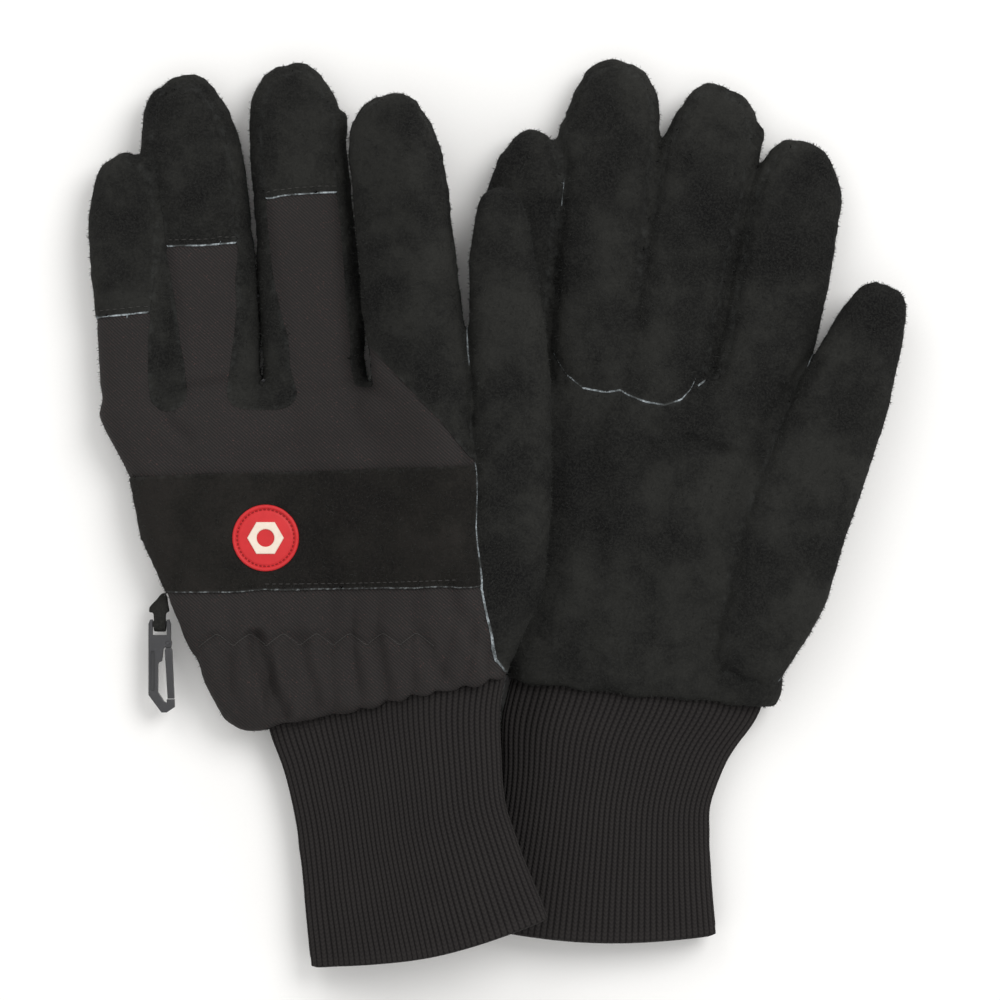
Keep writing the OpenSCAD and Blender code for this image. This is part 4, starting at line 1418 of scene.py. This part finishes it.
def lay_elastic(glove):
    """Cuts the band out of a skin just inside the shell."""
    skin, tri = skins[glove], hands[glove][1]
    node = f"{glove}_wrist_elastic"
    inner = relax(skin - normals(skin, tri) * (1.45 * MM), tri, 6)
    gap = relax(gap_to(inner, tree_of([node]), 6 * MM), tri, 4)
    low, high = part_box(node)
    band = np.abs(inner[:, 1] - (low.y + high.y) / 2) - (high.y - low.y) / 2
    field = np.maximum(gap - 1.8 * MM, band)
    piece = make_object(f"{node}_band", make_mesh(node, *cut_under(inner, tri, field, 200)))
    piece.data.materials.append(finishes["elastic"])
    give_wall(piece, 0.6)
    piece.data.shade_smooth()
    dress(piece, f"{glove}_glove", node)


add_finish("elastic", woven_elastic, 0.15)
for glove in GLOVES:
    lay_elastic(glove)

# ---------------------------------------------------------------------------------------------
# The stitching in view: the row along the strap's lower edge, the zigzag that holds the wrist
# elastic, and the rows that hold the suede caps. Each row is laid on the finished fabric.
def place_on(x, y, carrier):
    """Where the camera's ray through a place in the picture meets a tree of faces."""
    lens, size = camera.data, max(FRAME_W, FRAME_H)
    way = camera.matrix_world.to_3x3() @ Vector((
        x - FRAME_W / 2 + lens.shift_x * size,
        FRAME_H / 2 - y + lens.shift_y * size,
        -size * lens.lens / lens.sensor_width,
    ))
    way.normalize()
    eye = camera.matrix_world.translation
    hit = carrier.ray_cast(eye, way)
    if hit[0] is not None:
        return hit[:2]
    best, near, spot = None, 1e9, eye + way * eye.z / -way.z
    for _ in range(4):
        found = carrier.find_nearest(spot)
        spot = eye + way * (found[0] - eye).dot(way)
        if (found[0] - spot).length < near:
            best, near = found, (found[0] - spot).length
    return best[:2]


def row_on(pixels, carrier, lift):
    """A line of places on a tree of faces under a line of places in the picture."""
    found = [place_on(x, y, carrier) for x, y in pixels]
    return [spot + way * (lift * MM) for spot, way in found]


def between(first, last, count, wave):
    """Places in the picture from one point to another, with a sideways wave added."""
    (x0, y0), (x1, y1) = POINTS[first], POINTS[last]
    return [(x0 + (x1 - x0) * t, y0 + (y1 - y0) * t - wave(t)) for t in np.linspace(0, 1, count)]


def sewing_thread(wire):
    twist = wire.noise(3200, 2)
    return look(wire, twist.tint(linear(46, 45, 44), linear(68, 66, 64)), 0.75, twist, 0.4, 0.1)


# How many teeth the zigzag has, and how high one is in the picture
TEETH, TOOTH = 7, 12


def bow(share):
    """The strap's row sags a little between its ends."""
    return 4 * share * (share - 1)


def tooth(share):
    """The zigzag's height along its row."""
    return TOOTH * (1 - abs(2 * ((share * TEETH) % 1) - 1) ** 1.15) * (share < 1)


add_finish("thread", sewing_thread, 0.3)
wrist = trees([sewn["left"][panel] for panel in ("wrist_panel", "knuckle_strap", "thumb_back")])
strap_row = row_on(between("stitch_row_start", "stitch_row_end", 60, bow), wrist, 0.04)
zigzag = row_on(between("zigzag_start", "zigzag_end", 12 * TEETH + 1, tooth), wrist, 0.06)
grow_stitches("left_strap_row", [strap_row], 2.1, 0.28, 1.5, "thread", "left_glove")
grow_stitches("left_zigzag_row", [zigzag], 1.15, 0.3, 1.3, "thread", "left_glove")


def raw_edge_of(piece, upper_only=False):
    """The corners of a piece's pale edge, or only those that show from above."""
    mesh = piece.data
    ends = {v for poly in mesh.polygons
            if poly.material_index and (poly.normal.z > 0.6 or not upper_only)
            for v in poly.vertices}
    return arrays(mesh)[0][sorted(ends)]


def cap_row(glove, panel, inset):
    """A line of places on a cap's outer face, a set distance in from its raw lower edge."""
    facing = 1 if glove == "left" else -1
    low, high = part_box(f"{glove}_{panel}")
    edge = raw_edge_of(sewn[glove][panel])
    edge = edge[(edge[:, 2] - (low.z + high.z) / 2) * facing > 0]
    edge = edge[np.abs(edge[:, 1] - np.median(edge[:, 1])) < 2.5 * MM]
    edge = edge[np.argsort(edge[:, 0])]
    xs = np.linspace(edge[0, 0] + MM, edge[-1, 0] - MM, 40)
    ys = np.interp(xs, edge[:, 0], even(edge[:, 1], 12))
    carrier = trees([sewn[glove][panel]])
    line = []
    for x, y in zip(xs, ys):
        hit = carrier.ray_cast((x, y + inset * MM, 0.2 * facing), (0, 0, -facing))
        if hit[0] is not None:
            spot = hit[0] + hit[1] * (0.04 * MM)
            line.append(Vector((spot.x, spot.y, max(spot.z, 0.15 * MM))))
    return line


for glove in GLOVES:
    rows = [cap_row(glove, panel, 1.9) for panel in ("little_cap", "ring_cap", "middle_cap")]
    grow_stitches(f"{glove}_cap_rows", rows, 2.1, 0.26, 1.5, "thread", f"{glove}_glove")

# ---------------------------------------------------------------------------------------------
# The nap: short loose fibres that stand up from the brushed suede and break its outline.
SUEDE = [k for k, panel in enumerate(PANELS) if SEWN[panel][0] != "stretch_fabric"]
# Fibres on each square metre, and how thick and long one is
FIBRES, FIBRE, FIBRE_LENGTH = 0.75e6, 0.09 * MM, 0.95 * MM


def fibre(wire):
    grey = wire.noise(300, 2).tint(linear(34, 34, 33), linear(62, 63, 61))
    return {"Base Color": grey, "Roughness": 0.9}


add_finish("suede_fibre", fibre, 0.05)


def scatter_fibres(add, given):
    """Lays a thin three-sided cone, leant and stretched at random, on each scattered point."""
    scattered = add("GeometryNodeDistributePointsOnFaces", {
        "Mesh": given["Geometry"], "Density": given["Density"], "Seed": 5,
    })
    cone = add("GeometryNodeMeshCone", {
        "Vertices": 3, "Radius Bottom": given["Thread"], "Depth": given["Length"],
    })["Mesh"]
    lean = add("FunctionNodeRandomValue", {0: (-1.1, -1.1, -3.1), 1: (1.1, 1.1, 3.1), "Seed": 6},
               data_type="FLOAT_VECTOR")[0]
    stretch = add("FunctionNodeRandomValue", {2: 0.5, 3: 1.3, "Seed": 7})[1]
    tilted = add("FunctionNodeRotateEuler", {
        "Rotation": scattered["Rotation"], "Rotate By": lean,
    }, space="LOCAL")["Rotation"]
    laid = add("GeometryNodeInstanceOnPoints", {
        "Points": scattered["Points"], "Instance": cone, "Rotation": tilted, "Scale": stretch,
    })["Instances"]
    real = add("GeometryNodeRealizeInstances", {"Geometry": laid})["Geometry"]
    paint = {"Geometry": real, "Material": finishes["suede_fibre"]}
    return add("GeometryNodeSetMaterial", paint)["Geometry"]


def grow_nap(glove):
    """Geometry Nodes scatter fine fibres over the suede part of the glove's skin."""
    skin, tri = skins[glove], hands[glove][1]
    lifts = np.array([SEWN[panel][1] for panel in PANELS])[panel_at[glove]]
    brushed = (np.isin(panel_at[glove], SUEDE) & (skin[:, 2] > 1.8 * MM))[tri].all(axis=1)
    raised = skin + normals(skin, tri) * (lifts[:, None] * MM)
    name = f"{glove}_nap"
    piece = make_object(name, make_mesh(name, *keep_part(raised, tri[brushed])))
    sizes = {"Density": FIBRES, "Thread": FIBRE, "Length": FIBRE_LENGTH}
    grow(piece, f"{name}_fibres", sizes, scatter_fibres)
    dress(piece, f"{glove}_glove")


for glove in GLOVES:
    grow_nap(glove)

# ---------------------------------------------------------------------------------------------
# The sizes and places: where each thing shows, less where its point is in the
# photograph.
def shown(spots):
    """Where places appear in the picture, in its pixels."""
    lens, size = camera.data, max(FRAME_W, FRAME_H)
    inward = np.array(camera.matrix_world.inverted())
    local = np.asarray(spots) @ inward[:3, :3].T + inward[:3, 3]
    scale = size * lens.lens / lens.sensor_width / -local[:, 2]
    return np.column_stack([
        FRAME_W / 2 - lens.shift_x * size + local[:, 0] * scale,
        FRAME_H / 2 + lens.shift_y * size - local[:, 1] * scale,
    ])


def edge_drawn(glove, panel):
    """What shows of a panel's raw edge from above."""
    return shown(raw_edge_of(sewn[glove][panel], upper_only=True))


def cap_seam(panel):
    """The middle of a cap's raw edge, without what shows of it round the sides."""
    places = edge_drawn("left", panel)
    return centre_of(places[np.abs(places[:, 1] - np.median(places[:, 1])) < 14])


def near_row(places, y):
    """The middle of the places within a few pixels of a height in the picture."""
    close = places[np.abs(places[:, 1] - y) < 6]
    return centre_of(close)[0], y


def near_column(places, x):
    return x, np.median(places[np.abs(places[:, 0] - x) < 6, 1])


def upper_end(places):
    return centre_of(places[places[:, 1] < places[:, 1].min() + 2])


pieces = {made.name: made for made in scene.objects if made.type == "MESH"}
outlines = {
    name: shown(arrays(made.data)[0]) for name, made in pieces.items()
    if name.startswith(("left_", "right_", "hook_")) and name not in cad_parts
    and not name.endswith("_nap")
}
gloves_drawn = np.vstack(list(outlines.values()))
hook_drawn = outlines["hook_body_made"]
strap_mesh = sewn["left"]["knuckle_strap"].data
strap_face = {v for poly in strap_mesh.polygons if poly.normal.z > 0.6 for v in poly.vertices}
strap_drawn = shown(arrays(strap_mesh)[0][list(strap_face)])
found = {
    "left_x": (gloves_drawn[:, 0].min(), None),
    "right_x": (gloves_drawn[:, 0].max(), None),
    "top_y": (None, gloves_drawn[:, 1].min()),
    "bottom_y": (None, gloves_drawn[:, 1].max()),
    "badge": centre_of(outlines["left_badge_disc"]),
    "hook_top": upper_end(hook_drawn),
    "hook_bottom": -upper_end(-hook_drawn),
    "little_cap_seam": cap_seam("little_cap"),
    "ring_cap_seam": cap_seam("ring_cap"),
    "middle_cap_seam": cap_seam("middle_cap"),
    "strap_corner": strap_drawn[(strap_drawn[:, 0] - strap_drawn[:, 1]).argmax()],
    "stitch_row_start": shown([strap_row[0]])[0],
    "stitch_row_end": shown([strap_row[-1]])[0],
    "zigzag_start": shown([zigzag[0]])[0],
    "zigzag_end": shown([zigzag[-1]])[0],
    "thumb_seam": near_row(edge_drawn("left", "thumb_back"), POINTS["thumb_seam"][1]),
    "base_seam": near_column(edge_drawn("right", "finger_front"), POINTS["base_seam"][0]),
    "right_thumb_tip": upper_end(outlines["right_thumb_front_sewn"]),
}
off = {
    name: [None if want is None else round(float(have) - want, 1)
           for have, want in zip(found[name], POINTS[name])]
    for name in POINTS
}
